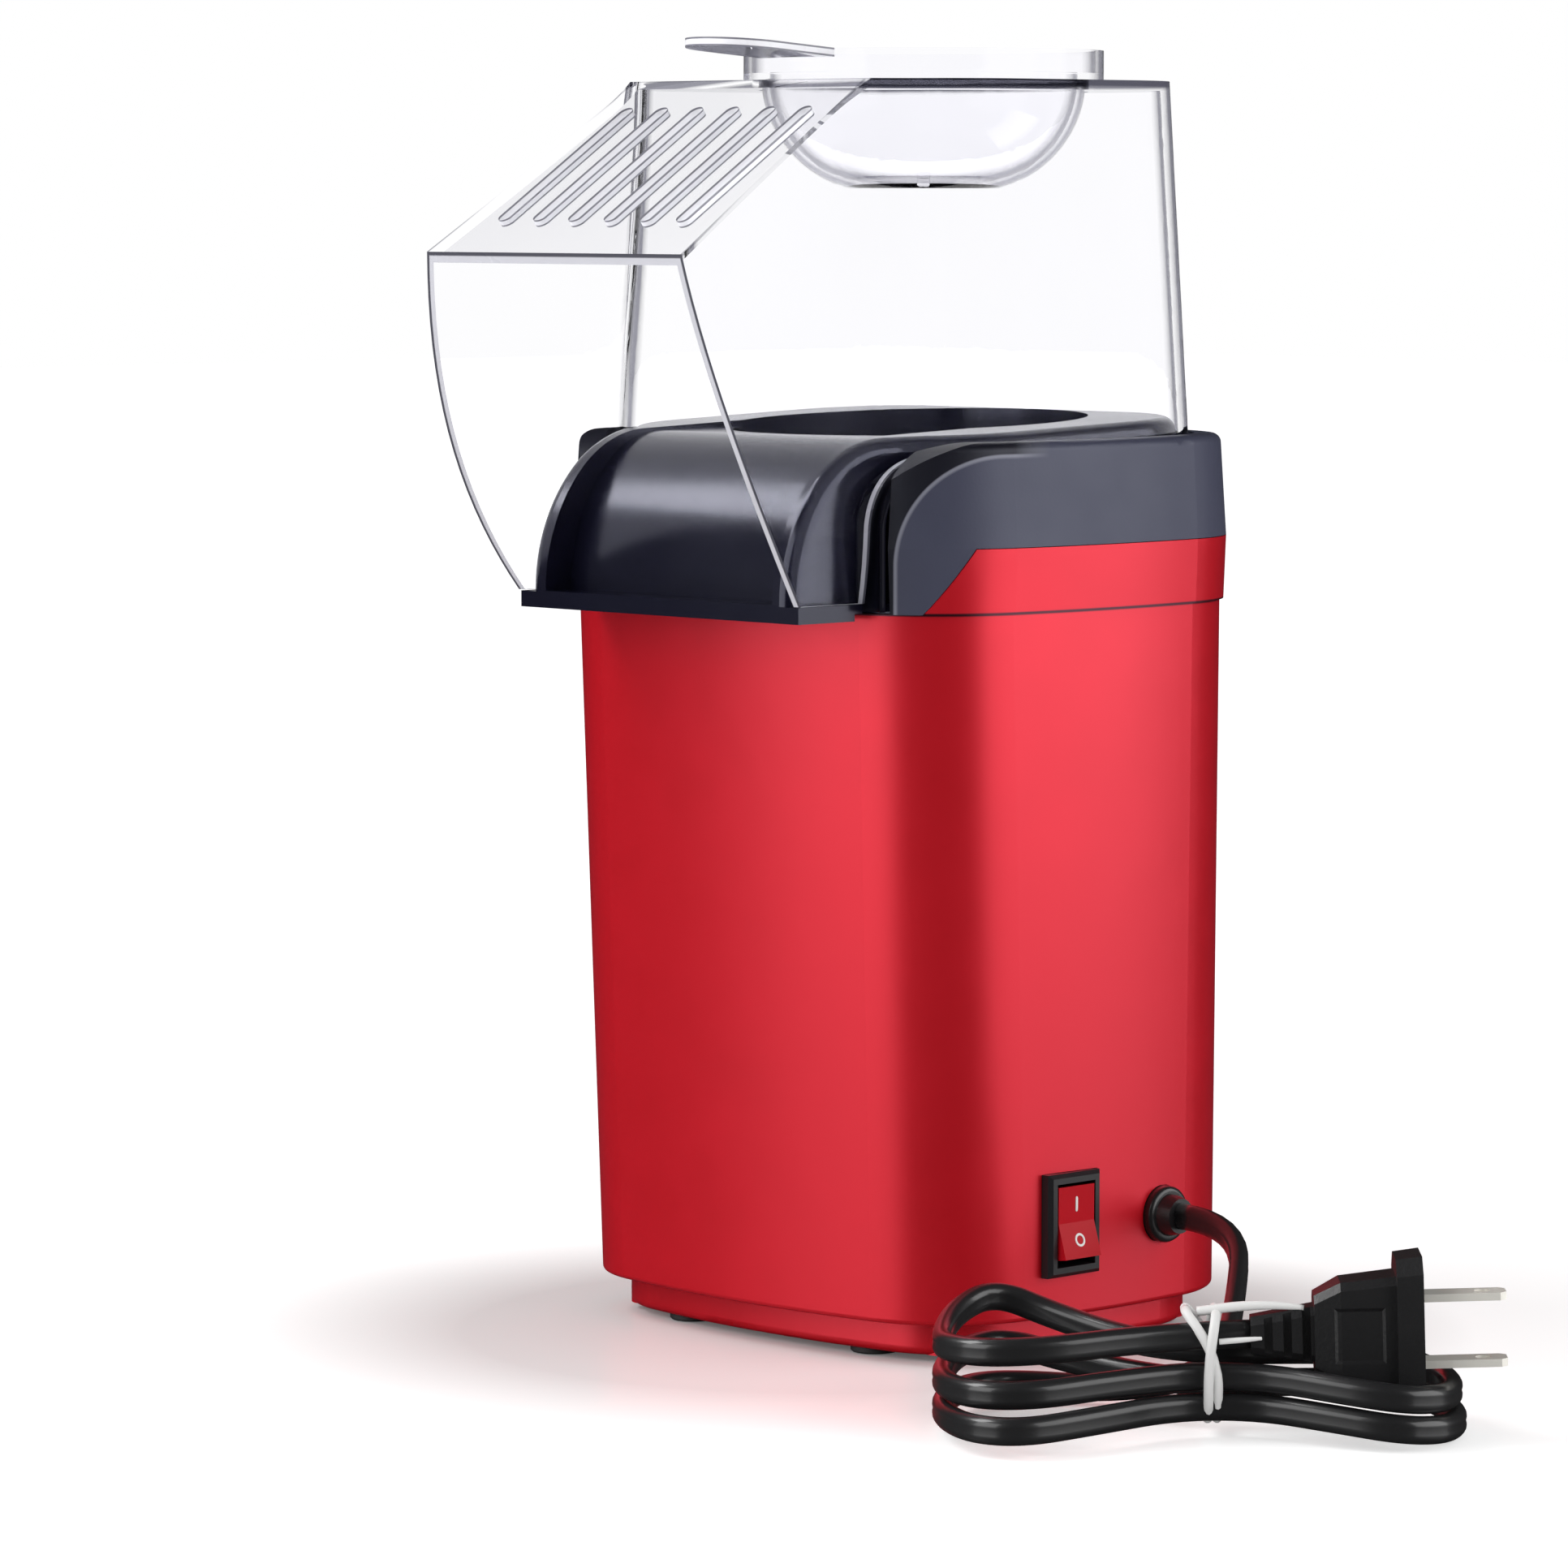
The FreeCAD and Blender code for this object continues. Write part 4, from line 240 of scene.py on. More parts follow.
def new_group(name, inputs, outputs):
    """Empty shader node group with named sockets; gives the tree and its input and output nodes."""
    tree = bpy.data.node_groups.new(name, "ShaderNodeTree")
    for label, kind, default in inputs:
        socket = tree.interface.new_socket(label, in_out="INPUT", socket_type=kind)
        if default is not None:
            socket.default_value = default
    for label, kind in outputs:
        tree.interface.new_socket(label, in_out="OUTPUT", socket_type=kind)
    return tree, tree.nodes.new("NodeGroupInput"), tree.nodes.new("NodeGroupOutput")


def map_range(tree, value, low, high, to_low, to_high):
    """Map Range node from low..high to the two ends, which may be numbers or sockets."""
    node = tree.nodes.new("ShaderNodeMapRange")
    tree.links.new(value, node.inputs["Value"])
    node.inputs["From Min"].default_value = low
    node.inputs["From Max"].default_value = high
    for end, label in ((to_low, "To Min"), (to_high, "To Max")):
        if isinstance(end, (int, float)):
            node.inputs[label].default_value = end
        else:
            tree.links.new(end, node.inputs[label])
    return node.outputs["Result"]


def math_node(tree, operation, first, second=0.0):
    """Math node on two values, each a number or a socket."""
    node = tree.nodes.new("ShaderNodeMath")
    node.operation = operation
    for socket, value in zip(node.inputs, (first, second)):
        if isinstance(value, (int, float)):
            socket.default_value = value
        else:
            tree.links.new(value, socket)
    return node.outputs[0]


def vector_node(tree, operation, first, second=None):
    """Vector Math node on a socket and a constant vector; a length comes out as a value."""
    node = tree.nodes.new("ShaderNodeVectorMath")
    node.operation = operation
    tree.links.new(first, node.inputs[0])
    if second is not None:
        node.inputs[1].default_value = second
    return node.outputs["Value" if operation == "LENGTH" else "Vector"]


def split(tree, vector):
    """The X, Y and Z of a vector."""
    node = tree.nodes.new("ShaderNodeSeparateXYZ")
    tree.links.new(vector, node.inputs[0])
    return node.outputs


def mix_colour(tree, mask, below, above):
    """Colour that goes from below to above with a mask; each end is a colour or a socket."""
    node = tree.nodes.new("ShaderNodeMix")
    node.data_type = "RGBA"
    tree.links.new(mask, node.inputs[0])
    for socket, colour in ((node.inputs[6], below), (node.inputs[7], above)):
        if isinstance(colour, bpy.types.NodeSocket):
            tree.links.new(colour, socket)
        else:
            socket.default_value = (*colour, 1.0)
    return node.outputs[2]


def noise(tree, vector, scale, detail, times):
    """Noise texture whose scale is a socket times a factor."""
    node = tree.nodes.new("ShaderNodeTexNoise")
    tree.links.new(vector, node.inputs["Vector"])
    node.inputs["Detail"].default_value = detail
    tree.links.new(math_node(tree, "MULTIPLY", scale, times), node.inputs["Scale"])
    return node.outputs["Fac"]


def make_moulded_grain():
    """Moulded surface: slow drifts of gloss and a fine orange-peel height."""
    tree, given, result = new_group(
        "Moulded grain",
        [("Vector", "NodeSocketVector", None), ("Scale", "NodeSocketFloat", 300.0),
         ("Low", "NodeSocketFloat", 0.3), ("High", "NodeSocketFloat", 0.4)],
        [("Roughness", "NodeSocketFloat"), ("Height", "NodeSocketFloat")])
    gloss = noise(tree, given.outputs["Vector"], given.outputs["Scale"], 4.0, 0.06)
    rough = map_range(tree, gloss, 0.3, 0.7, given.outputs["Low"], given.outputs["High"])
    tree.links.new(rough, result.inputs["Roughness"])
    height = noise(tree, given.outputs["Vector"], given.outputs["Scale"], 2.0, 1.0)
    tree.links.new(height, result.inputs["Height"])
    return tree


def make_drawn_lines():
    """Drawn or brushed metal: noise stretched along one axis."""
    tree, given, result = new_group(
        "Drawn lines",
        [("Vector", "NodeSocketVector", None), ("Scale", "NodeSocketFloat", 200.0),
         ("Low", "NodeSocketFloat", 0.2), ("High", "NodeSocketFloat", 0.4)],
        [("Roughness", "NodeSocketFloat"), ("Height", "NodeSocketFloat")])
    stretch = tree.nodes.new("ShaderNodeMapping")
    stretch.inputs["Scale"].default_value = (1.0, 1.0, 14.0)
    tree.links.new(given.outputs["Vector"], stretch.inputs["Vector"])
    lines = noise(tree, stretch.outputs["Vector"], given.outputs["Scale"], 5.0, 1.0)
    rough = map_range(tree, lines, 0.3, 0.7, given.outputs["Low"], given.outputs["High"])
    tree.links.new(rough, result.inputs["Roughness"])
    tree.links.new(lines, result.inputs["Height"])
    return tree


def make_tone_drift():
    """Slow change of lightness over a surface, up and down by Amount."""
    tree, given, result = new_group(
        "Tone drift",
        [("Vector", "NodeSocketVector", None), ("Colour", "NodeSocketColor", None),
         ("Scale", "NodeSocketFloat", 20.0), ("Amount", "NodeSocketFloat", 0.05)],
        [("Colour", "NodeSocketColor")])
    drift = noise(tree, given.outputs["Vector"], given.outputs["Scale"], 3.0, 1.0)
    less = math_node(tree, "SUBTRACT", 1.0, given.outputs["Amount"])
    more = math_node(tree, "ADD", 1.0, given.outputs["Amount"])
    value = map_range(tree, drift, 0.3, 0.7, less, more)
    shift = tree.nodes.new("ShaderNodeHueSaturation")
    tree.links.new(value, shift.inputs["Value"])
    tree.links.new(given.outputs["Colour"], shift.inputs["Color"])
    tree.links.new(shift.outputs["Color"], result.inputs["Colour"])
    return tree


def make_sunk_panel():
    """Height that falls inside a rectangle in the first and third coordinates, about the middle of the vector."""
    tree, given, result = new_group(
        "Sunk panel",
        [("Vector", "NodeSocketVector", None), ("Half length", "NodeSocketFloat", 0.005),
         ("Half height", "NodeSocketFloat", 0.005)],
        [("Height", "NodeSocketFloat")])
    parts = split(tree, given.outputs["Vector"])
    outside = []
    for axis, label in (("X", "Half length"), ("Z", "Half height")):
        past = math_node(tree, "SUBTRACT", math_node(tree, "ABSOLUTE", parts[axis]), given.outputs[label])
        outside.append(map_range(tree, past, -PANEL_SLOPE, PANEL_SLOPE, 0.0, 1.0))
    tree.links.new(math_node(tree, "MAXIMUM", *outside), result.inputs["Height"])
    return tree


def shared_group(name):
    """One of the shared effects, built when first asked for."""
    makers = {"Moulded grain": make_moulded_grain, "Drawn lines": make_drawn_lines, "Tone drift": make_tone_drift,
              "Sunk panel": make_sunk_panel}
    return bpy.data.node_groups.get(name) or makers[name]()


# Materials


def base_material(name):
    """Material with a Principled shader; gives the material, its tree, the shader and the object coordinates."""
    mat = bpy.data.materials.new(name)
    mat.use_nodes = True
    tree = mat.node_tree
    shader = next(n for n in tree.nodes if n.type == "BSDF_PRINCIPLED")
    place = tree.nodes.new("ShaderNodeTexCoord").outputs["Object"]
    return mat, tree, shader, place


def place_group(tree, name, vector, **values):
    """Shared effect placed in a material, with its values."""
    node = tree.nodes.new("ShaderNodeGroup")
    node.node_tree = shared_group(name)
    tree.links.new(vector, node.inputs["Vector"])
    for label, value in values.items():
        node.inputs[label].default_value = value
    return node


def object_place(tree):
    """Object coordinates of a material that has them."""
    return next(n for n in tree.nodes if n.type == "TEX_COORD").outputs["Object"]


def recolour(mat, colour):
    """Let a socket give the colour of a finish, before its drift."""
    tree = mat.node_tree
    tone = next(n for n in tree.nodes if n.type == "GROUP" and n.node_tree.name == "Tone drift")
    tree.links.new(colour, tone.inputs["Colour"])


def finish(name, colour, low, high, grain=900.0, bump=0.06, metallic=0.0, effect="Moulded grain",
           drift=0.04, drift_scale=25.0, coat=0.0, coat_rough=0.1, specular=0.5, tint=(1.0, 1.0, 1.0)):
    """Opaque finish: a colour with a slow drift, and gloss and height from a shared effect."""
    mat, tree, shader, place = base_material(name)
    shader.inputs["Metallic"].default_value = metallic
    shader.inputs["Coat Weight"].default_value = coat
    shader.inputs["Coat Roughness"].default_value = coat_rough
    shader.inputs["Specular IOR Level"].default_value = specular
    shader.inputs["Specular Tint"].default_value = (*tint, 1.0)
    shader.inputs["Coat Tint"].default_value = (*tint, 1.0)
    tone = place_group(tree, "Tone drift", place, Colour=(*colour, 1.0), Scale=drift_scale, Amount=drift)
    tree.links.new(tone.outputs["Colour"], shader.inputs["Base Color"])
    skin = place_group(tree, effect, place, Scale=grain, Low=low, High=high)
    tree.links.new(skin.outputs["Roughness"], shader.inputs["Roughness"])
    relief = tree.nodes.new("ShaderNodeBump")
    relief.inputs["Strength"].default_value = bump
    relief.inputs["Distance"].default_value = GRAIN_DEPTH
    tree.links.new(skin.outputs["Height"], relief.inputs["Height"])
    tree.links.new(relief.outputs["Normal"], shader.inputs["Normal"])
    return mat


def painted_top_shade(tree, place, top):
    """Painted shade line: one on upright faces in the last millimetre below a height, where the side walls meet the
    lid.
    """
    near = map_range(tree, split(tree, place)["Z"], top - TOP_SHADE_BAND[0], top - TOP_SHADE_BAND[1], 0.0, 1.0)
    normal = tree.nodes.new("ShaderNodeNewGeometry").outputs["True Normal"]
    lean = math_node(tree, "ABSOLUTE", split(tree, normal)["Z"])
    return math_node(tree, "MULTIPLY", near, map_range(tree, lean, 0.3, 0.5, 1.0, 0.0))


def painted_fold_shade(tree, place, start, end):
    """A mask of painted shade near a straight fold of the sheet and its mirror image; its distance is a cross product
    with the line.
    """
    parts = split(tree, place)
    spot = tree.nodes.new("ShaderNodeCombineXYZ")
    for socket, part in zip(spot.inputs, (math_node(tree, "ABSOLUTE", parts["X"]), parts["Y"], parts["Z"])):
        tree.links.new(part, socket)
    arm = vector_node(tree, "SUBTRACT", spot.outputs[0], np.array(start) * MM)
    across = vector_node(tree, "CROSS_PRODUCT", arm, unit(np.array(end) - np.array(start)))
    distance = vector_node(tree, "LENGTH", across)
    return map_range(tree, distance, 0.7 * FOLD_WIDTH * MM, 1.2 * FOLD_WIDTH * MM, 0.75, 0.0)


def clear_moulding(name, tint, low, high, ior, top, folds=()):
    """Clear plastic: a faint tint with painted shade at grazing angles, on its top line and at folds, and marks in its
    gloss.
    """
    mat, tree, shader, place = base_material(name)
    shader.inputs["Transmission Weight"].default_value = 1.0
    shader.inputs["IOR"].default_value = ior
    tone = place_group(tree, "Tone drift", place, Colour=(*tint, 1.0), Scale=30.0, Amount=0.004)
    # Painted shade: the tint darkens towards the outline colour at grazing views, below the lid and along the folds.
    glance = tree.nodes.new("ShaderNodeLayerWeight")
    glance.inputs["Blend"].default_value = 0.5
    rim = map_range(tree, glance.outputs["Facing"], *GRAZING, 0.0, 1.0)
    dark = math_node(tree, "MAXIMUM", rim, painted_top_shade(tree, place, top))
    for start, end in folds:
        dark = math_node(tree, "MAXIMUM", dark, painted_fold_shade(tree, place, start, end))
    tree.links.new(mix_colour(tree, dark, tone.outputs["Colour"], PAINTED_OUTLINE_SHADE), shader.inputs["Base Color"])
    marks = place_group(tree, "Moulded grain", place, Scale=260.0, Low=low, High=high)
    tree.links.new(marks.outputs["Roughness"], shader.inputs["Roughness"])
    return mat


def cut_edge(name, pale, dark, both):
    """Cut edge of the clear sheet, opaque: pale as painted light, with a painted shade line along its outer rim or
    along both rims.
    """
    mat = finish(name, pale, 0.25, 0.35, grain=700.0, bump=0.03)
    tree = mat.node_tree
    rim = tree.nodes.new("ShaderNodeAttribute")
    rim.attribute_name = "rim"
    # Painted dark outline: along the outer rim, or along both rims of a slot.
    if both:
        line = math_node(tree, "MAXIMUM", map_range(tree, rim.outputs["Fac"], *SLOT_OUTER_SHADE_LINE, 0.0, 1.0),
                         map_range(tree, rim.outputs["Fac"], *SLOT_INNER_SHADE_LINE, 1.0, 0.0))
    else:
        line = map_range(tree, rim.outputs["Fac"], *OUTER_SHADE_LINE, 0.0, 1.0)
    recolour(mat, mix_colour(tree, line, pale, dark))
    return mat


def spot_of(vertex):
    """Place of a vertex, rounded so that the loose triangles that meet there share it."""
    return tuple(np.round(vertex.co, 6))


def mark_rims(mesh, skin_faces):
    """Attribute that runs from zero at the inner rim of a cut edge to one at its outer rim.

    A corner is outer where the faces of the sheet that meet there look away from the middle of the piece.
    """
    middle = np.mean([v.co for v in mesh.vertices], axis=0)
    outward = {}
    for face in skin_faces:
        away = float(np.dot(np.array(face.center) - middle, face.normal))
        for i in face.vertices:
            spot = spot_of(mesh.vertices[i])
            outward[spot] = outward.get(spot, 0.0) + away * face.area
    rim = [float(outward.get(spot_of(v), 0.0) > 0.0) for v in mesh.vertices]
    mesh.attributes.new("rim", "FLOAT", "POINT").data.foreach_set("value", rim)


def smooth_groups(mesh):
    """Number of the smooth surface that each face belongs to; neighbours join where they turn less than 20 degrees."""
    owner = list(range(len(mesh.polygons)))

    def root(i):
        while owner[i] != i:
            owner[i] = owner[owner[i]]
            i = owner[i]
        return i

    spots = {}
    place = [spots.setdefault(spot_of(v), len(spots)) for v in mesh.vertices]
    first = {}
    for face in mesh.polygons:
        ring = [place[i] for i in face.vertices]
        for edge in zip(ring, ring[1:] + ring[:1]):
            other = first.setdefault(tuple(sorted(edge)), face.index)
            if mesh.polygons[other].normal.dot(face.normal) > SAME_SURFACE:
                owner[root(face.index)] = root(other)
    return [root(i) for i in range(len(owner))]


def dress_clear(name, skin, edge, pale_edge, thickness):
    """Clear sheet with its cut edges in opaque finishes; an edge has far more than one thickness behind it.

    The edges of small openings are paler than the others: more painted light.
    """
    mesh = NODES[name].data
    mesh.materials.clear()
    for mat in (skin, edge, pale_edge):
        mesh.materials.append(mat)
    tree = BVHTree.FromPolygons([v.co for v in mesh.vertices], [tuple(face.vertices) for face in mesh.polygons])
    groups = smooth_groups(mesh)
    thin = {}
    places = {}
    for face, group in zip(mesh.polygons, groups):
        inward = -face.normal
        depth = tree.ray_cast(face.center + inward * 1e-5, inward)[3]
        sign = 1.0 if depth is None or depth < EDGE_SHEETS * thickness else -1.0
        thin[group] = thin.get(group, 0.0) + sign * face.area
        places.setdefault(group, []).extend(mesh.vertices[i].co for i in face.vertices)
    reach = {group: np.linalg.norm(np.ptp(np.array(spots), axis=0)) for group, spots in places.items()}
    for face, group in zip(mesh.polygons, groups):
        face.material_index = 0 if thin[group] > 0 else (1 if reach[group] > SMALL_OPENING else 2)
    mark_rims(mesh, [face for face in mesh.polygons if face.material_index == 0])


def dress(mat, *names):
    """Give CAD nodes a material in place of the plain one."""
    for name in names:
        data = NODES[name].data
        data.materials.clear()
        data.materials.append(mat)


# Surfaces


def grid_faces(rows, cols):
    """Quads of a grid whose second direction closes on itself."""
    i = np.arange(rows - 1)[:, None] * cols
    j = np.arange(cols)[None, :]
    k = (j + 1) % cols
    return np.stack([i + j, i + k, i + cols + k, i + cols + j], axis=-1).reshape(-1, 4)


def skin_object(name, points, capped=True):
    """Smooth object from a grid of points that closes across, with both ends capped or left open."""
    rows, cols = points.shape[:2]
    faces = grid_faces(rows, cols).tolist()
    if capped:
        faces.append(list(range(cols - 1, -1, -1)))
        faces.append(list(range((rows - 1) * cols, rows * cols)))
    mesh = bpy.data.meshes.new(name)
    mesh.from_pydata(points.reshape(-1, 3).tolist(), [], faces)
    mesh.validate()
    mesh.polygons.foreach_set("use_smooth", np.ones(len(mesh.polygons), bool))
    obj = bpy.data.objects.new(name, mesh)
    bpy.context.scene.collection.objects.link(obj)
    return obj


def unit(v):
    """Vectors of length one."""
    return v / np.linalg.norm(v, axis=-1, keepdims=True)


def carried(path, profile, lean, size=1.0):
    """Profile carried along a path: first profile axis is lean made square to the path, second is across both.

    The profile may change size along the path.
    """
    along = unit(np.gradient(path, axis=0))
    first = unit(lean - along * np.sum(lean * along, axis=1, keepdims=True))
    second = np.cross(along, first)
    section = np.broadcast_to(size, len(path))[:, None, None] * profile[None, :, :]
    return path[:, None, :] + first[:, None, :] * section[:, :, :1] + second[:, None, :] * section[:, :, 1:]


def joined(name, objects):
    """One mesh of several objects."""
    with bpy.context.temp_override(active_object=objects[0], selected_editable_objects=objects):
        bpy.ops.object.join()
    objects[0].name = name
    return objects[0]


# Mains lead


def hank_points(degrees):
    """Centre line of the hank, in metres in the shared frame, for many angles at once.

    Each turn is drawn in at the waist by the fourth power of the sine of its angle, and climbs by one pitch.
    """
    angle = np.radians(degrees)
    c = np.cos(angle)
    s = np.sin(angle)
    share = (degrees - HANK_START) / (HANK_END - HANK_START)
    right = c > 0

    def now(pair):
        return pair[0] + pair[1] * share

    reach = np.where(right, now(HANK_RIGHT), HANK_LEFT)
    belly = np.where(right, now(HANK_RIGHT_BELLY), np.where(s > 0, now(HANK_LEFT_FAR), now(HANK_LEFT_NEAR)))
    toward = -s * (belly * (1 - s ** 4) + HANK_WAIST * s ** 4)
    height = HANK_PITCH * (degrees - HANK_START) / 360 + HANK_LIFT * share ** 4
    height -= np.where(right, now(HANK_DROOP) * c ** 2, 0.0)
    height += np.where(~right & (s > 0), HANK_FAN * share * (toward / belly * c) ** 2, 0.0)
    places = HANK_CENTRE + np.outer(reach * c, HANK_ALONG) + np.outer(toward, HANK_TOWARD) + np.outer(height, UP)
    return (places + np.array([0.0, ROW_Y, 0.0])) * MM


def hank_heading(degrees):
    """Direction of the hank's centre line at an angle, from two points close to it."""
    step = 0.05
    ends = hank_points(np.array([degrees - step, degrees + step]))
    return unit(ends[1] - ends[0])


def lead_exit():
    """Middle of the strain relief's outer end."""
    low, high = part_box("strain_relief")
    return np.array([high.x, (low.y + high.y) / 2, (low.z + high.z) / 2])


def lead_route():
    """Given points from the strain relief to the hank, the turns of the hank, and the rear end of the plug."""
    start = lead_exit()
    bends = (np.array(LEAD_BENDS) + np.array([0.0, ROW_Y, 0.0])) * MM
    turns = hank_points(np.linspace(HANK_START, HANK_END, HANK_POINTS))
    lead_in = turns[0] - hank_heading(HANK_START) * LAST_RUN * MM
    tail = turns[-1] + hank_heading(HANK_END) * PLUG_GAP * MM
    first = start + np.array([FIRST_RUN * MM, 0.0, 0.0])
    return np.vstack([start, first, bends, lead_in, turns, tail])


def smooth_line(route):
    """Points along a NURBS spline that has the route's points as its control points."""
    curve = bpy.data.curves.new("lead_line", "CURVE")
    curve.dimensions = "3D"
    curve.resolution_u = 8
    spline = curve.splines.new("NURBS")
    spline.points.add(len(route) - 1)
    spline.points.foreach_set("co", np.hstack([route, np.ones((len(route), 1))]).ravel())
    spline.order_u = 3
    spline.use_endpoint_u = True
    holder = bpy.data.objects.new("lead_line", curve)
    bpy.context.scene.collection.objects.link(holder)
    mesh = bpy.data.meshes.new_from_object(holder)
    points = np.empty(len(mesh.vertices) * 3)
    mesh.vertices.foreach_get("co", points)
    bpy.data.objects.remove(holder)
    bpy.data.meshes.remove(mesh)
    return points.reshape(-1, 3)


def twin_profile(width, thickness, groove, count=28):
    """Flat twin cord section: an oval whose flat sides dip into a groove between the cores."""
    t = np.linspace(0, 2 * np.pi, count, endpoint=False)
    tall = width / 2 * np.sign(np.sin(t)) * np.abs(np.sin(t)) ** 0.85
    dip = 1 - groove * np.exp(-(tall / (0.13 * width)) ** 2)
    return np.stack([tall, thickness / 2 * np.cos(t) * dip], axis=1)


def round_profile(radius, count=12):
    """Circle of a radius, as points about the middle."""
    t = np.linspace(0, 2 * np.pi, count, endpoint=False)
    return radius * np.stack([np.cos(t), np.sin(t)], axis=1)


class POPPER_OT_lead(bpy.types.Operator):
    """Flat twin mains lead from the strain relief through the tied hank to the plug"""

    bl_idname = "popper.lead"
    bl_label = "Mains lead"

    def execute(self, context):
        sizes = context.scene.popper_lead
        colours = context.scene.popper_finish
        line = smooth_line(lead_route())
        profile = twin_profile(sizes.width, sizes.thickness, sizes.groove)
        lead = skin_object("mains_lead", carried(line, profile, np.broadcast_to(UP, line.shape)))
        vinyl = finish("Cord vinyl", tuple(colours.cord_black), 0.28, 0.40, grain=700.0, bump=0.08, coat=0.4)
        lead.data.materials.append(vinyl)
        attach(lead, "housing")
        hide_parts("power_cord", "cord_hank")
        dress(vinyl, "strain_relief")
        dress(plug_finish(tuple(colours.cord_black)), "plug_body")
        nickel = finish("Blade nickel", (0.90, 0.88, 0.81), 0.30, 0.40, grain=400.0, bump=0.04, metallic=0.3,
                        effect="Drawn lines", drift=0.03)
        dress(nickel, "plug_blades")
        tie = make_tie(sizes.tie_wire)
        return {"FINISHED"}


def plug_finish(colour):
    """Finely textured vinyl with a plain sunk panel on both wide sides of the plug."""
    mat = finish("Plug vinyl", colour, 0.36, 0.48, grain=1300.0, bump=0.35)
    tree = mat.node_tree
    heading = hank_heading(HANK_END)
    tail = lead_route()[-1]
    turn = tree.nodes.new("ShaderNodeMapping")
    turn.vector_type = "TEXTURE"
    turn.inputs["Location"].default_value = tail + heading * PANEL_FROM_TAIL * MM
    turn.inputs["Rotation"].default_value = (0.0, -math.asin(heading[2]), math.atan2(heading[1], heading[0]))
    tree.links.new(object_place(tree), turn.inputs["Vector"])
    size = dict(zip(("Half length", "Half height"), PANEL_HALF))
    panel = place_group(tree, "Sunk panel", turn.outputs["Vector"], **size)
    edge = tree.nodes.new("ShaderNodeBump")
    edge.inputs["Strength"].default_value = 1.0
    edge.inputs["Distance"].default_value = PANEL_DEPTH
    tree.links.new(panel.outputs["Height"], edge.inputs["Height"])
    relief = next(n for n in tree.nodes if n.type == "BUMP" and n != edge)
    tree.links.new(edge.outputs["Normal"], relief.inputs["Normal"])
    return mat


def tie_strand(name, path, wire, size=1.0):
    """Round wire along a path."""
    lean = np.broadcast_to(HANK_ALONG + 0.3 * UP, path.shape)
    return skin_object(name, carried(path, round_profile(wire / 2), lean, size))


def at_waist(along, toward, height):
    """Places beside the waist of the hank, in metres: along the hank, towards the viewer's side and above the floor."""
    middle = (HANK_CENTRE + np.array([0.0, ROW_Y, 0.0])) * MM * np.array([1.0, 1.0, 0.0])
    return middle + np.outer(along, HANK_ALONG) + np.outer(toward, HANK_TOWARD) + np.outer(height, UP)


def make_tie(wire):
    """White wire tie: two rounded turns about the waist that lean apart above and cross in front, and two ends.

    Each turn is a superellipse; its lean along the hank grows with the square of the height in the upper half.
    """
    bottom = float(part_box("twist_tie")[0].z) + wire / 2
    top = float(hank_points(np.array([HANK_END]))[0, 2]) + (CORD_R * MM + wire)
    half_high = (top - bottom) / 2
    half_wide = (HANK_WAIST + CORD_R) * MM + 0.7 * wire
    t = np.linspace(0, 2 * np.pi, 72)
    across = half_wide * np.sign(np.sin(t)) * np.abs(np.sin(t)) ** 0.6
    rise = np.sign(np.cos(t)) * np.abs(np.cos(t)) ** 0.6
    height = (top + bottom) / 2 + half_high * rise
    strands = []
    for lean, shift, grow in ((-6.0, 0.8, 0.0), (1.5, -1.0, 0.6)):
        along = (shift + lean * np.clip(rise + 0.35, 0, 2) ** 2 / 1.82) * MM
        swell = 1 + grow * wire / half_high
        strands.append(tie_strand("tie_turn", at_waist(along, across * swell, height), wire))
    u = np.linspace(0, 1, 30)
    taper = 1 - 0.45 * u ** 3
    long_end = at_waist((-3.0 + 20.0 * u) * MM, half_wide * (0.35 + 0.45 * u), top + 1.6 * MM * np.sin(2.2 * u))
    strands.append(tie_strand("tie_long_end", long_end, wire, taper))
    short_end = at_waist((1.0 + 8.0 * u) * MM, half_wide * (1.0 + 0.12 * u), top - (5.0 - 0.8 * u) * MM)
    strands.append(tie_strand("tie_short_end", short_end, wire * 0.6, taper))
    tie = joined("twist_tie_wire", strands)
    white = finish("Tie white", (0.80, 0.80, 0.79), 0.35, 0.5, grain=600.0, bump=0.08)
    tie.data.materials.clear()
    tie.data.materials.append(white)
    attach(tie, "housing")
    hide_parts("twist_tie")
    return tie


# Finishes


def seam_line(mat, colour, dark, height):
    """Dark shadow in the seam between the band and the body, a third of a millimetre to each side of its height."""
    tree = mat.node_tree
    away = math_node(tree, "SUBTRACT", split(tree, object_place(tree))["Z"], height)
    near = map_range(tree, math_node(tree, "ABSOLUTE", away), *SEAM_FADE, 1.0, 0.0)
    recolour(mat, mix_colour(tree, near, colour, dark))


class POPPER_OT_housing(bpy.types.Operator):
    """Satin red body, band and base, and the rubber feet"""

    bl_idname = "popper.housing"
    bl_label = "Housing"

    def execute(self, context):
        colours = context.scene.popper_finish
        red = finish("Satin red", tuple(colours.body_red), 0.34, 0.40, grain=1500.0, bump=0.03, metallic=0.5,
                     drift=0.02, drift_scale=12.0, coat=0.7, coat_rough=0.34, tint=(1.0, 0.60, 1.0))
        seam_line(red, tuple(colours.body_red), (0.06, 0.0, 0.002), float(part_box("collar_band")[0].z))
        dress(red, "body_shell", "collar_band", "base_plate")
        rubber = finish("Foot rubber", (0.02, 0.02, 0.02), 0.6, 0.75, grain=800.0, bump=0.2)
        dress(rubber, "foot_front_left", "foot_front_right", "foot_rear_left", "foot_rear_right")
        return {"FINISHED"}


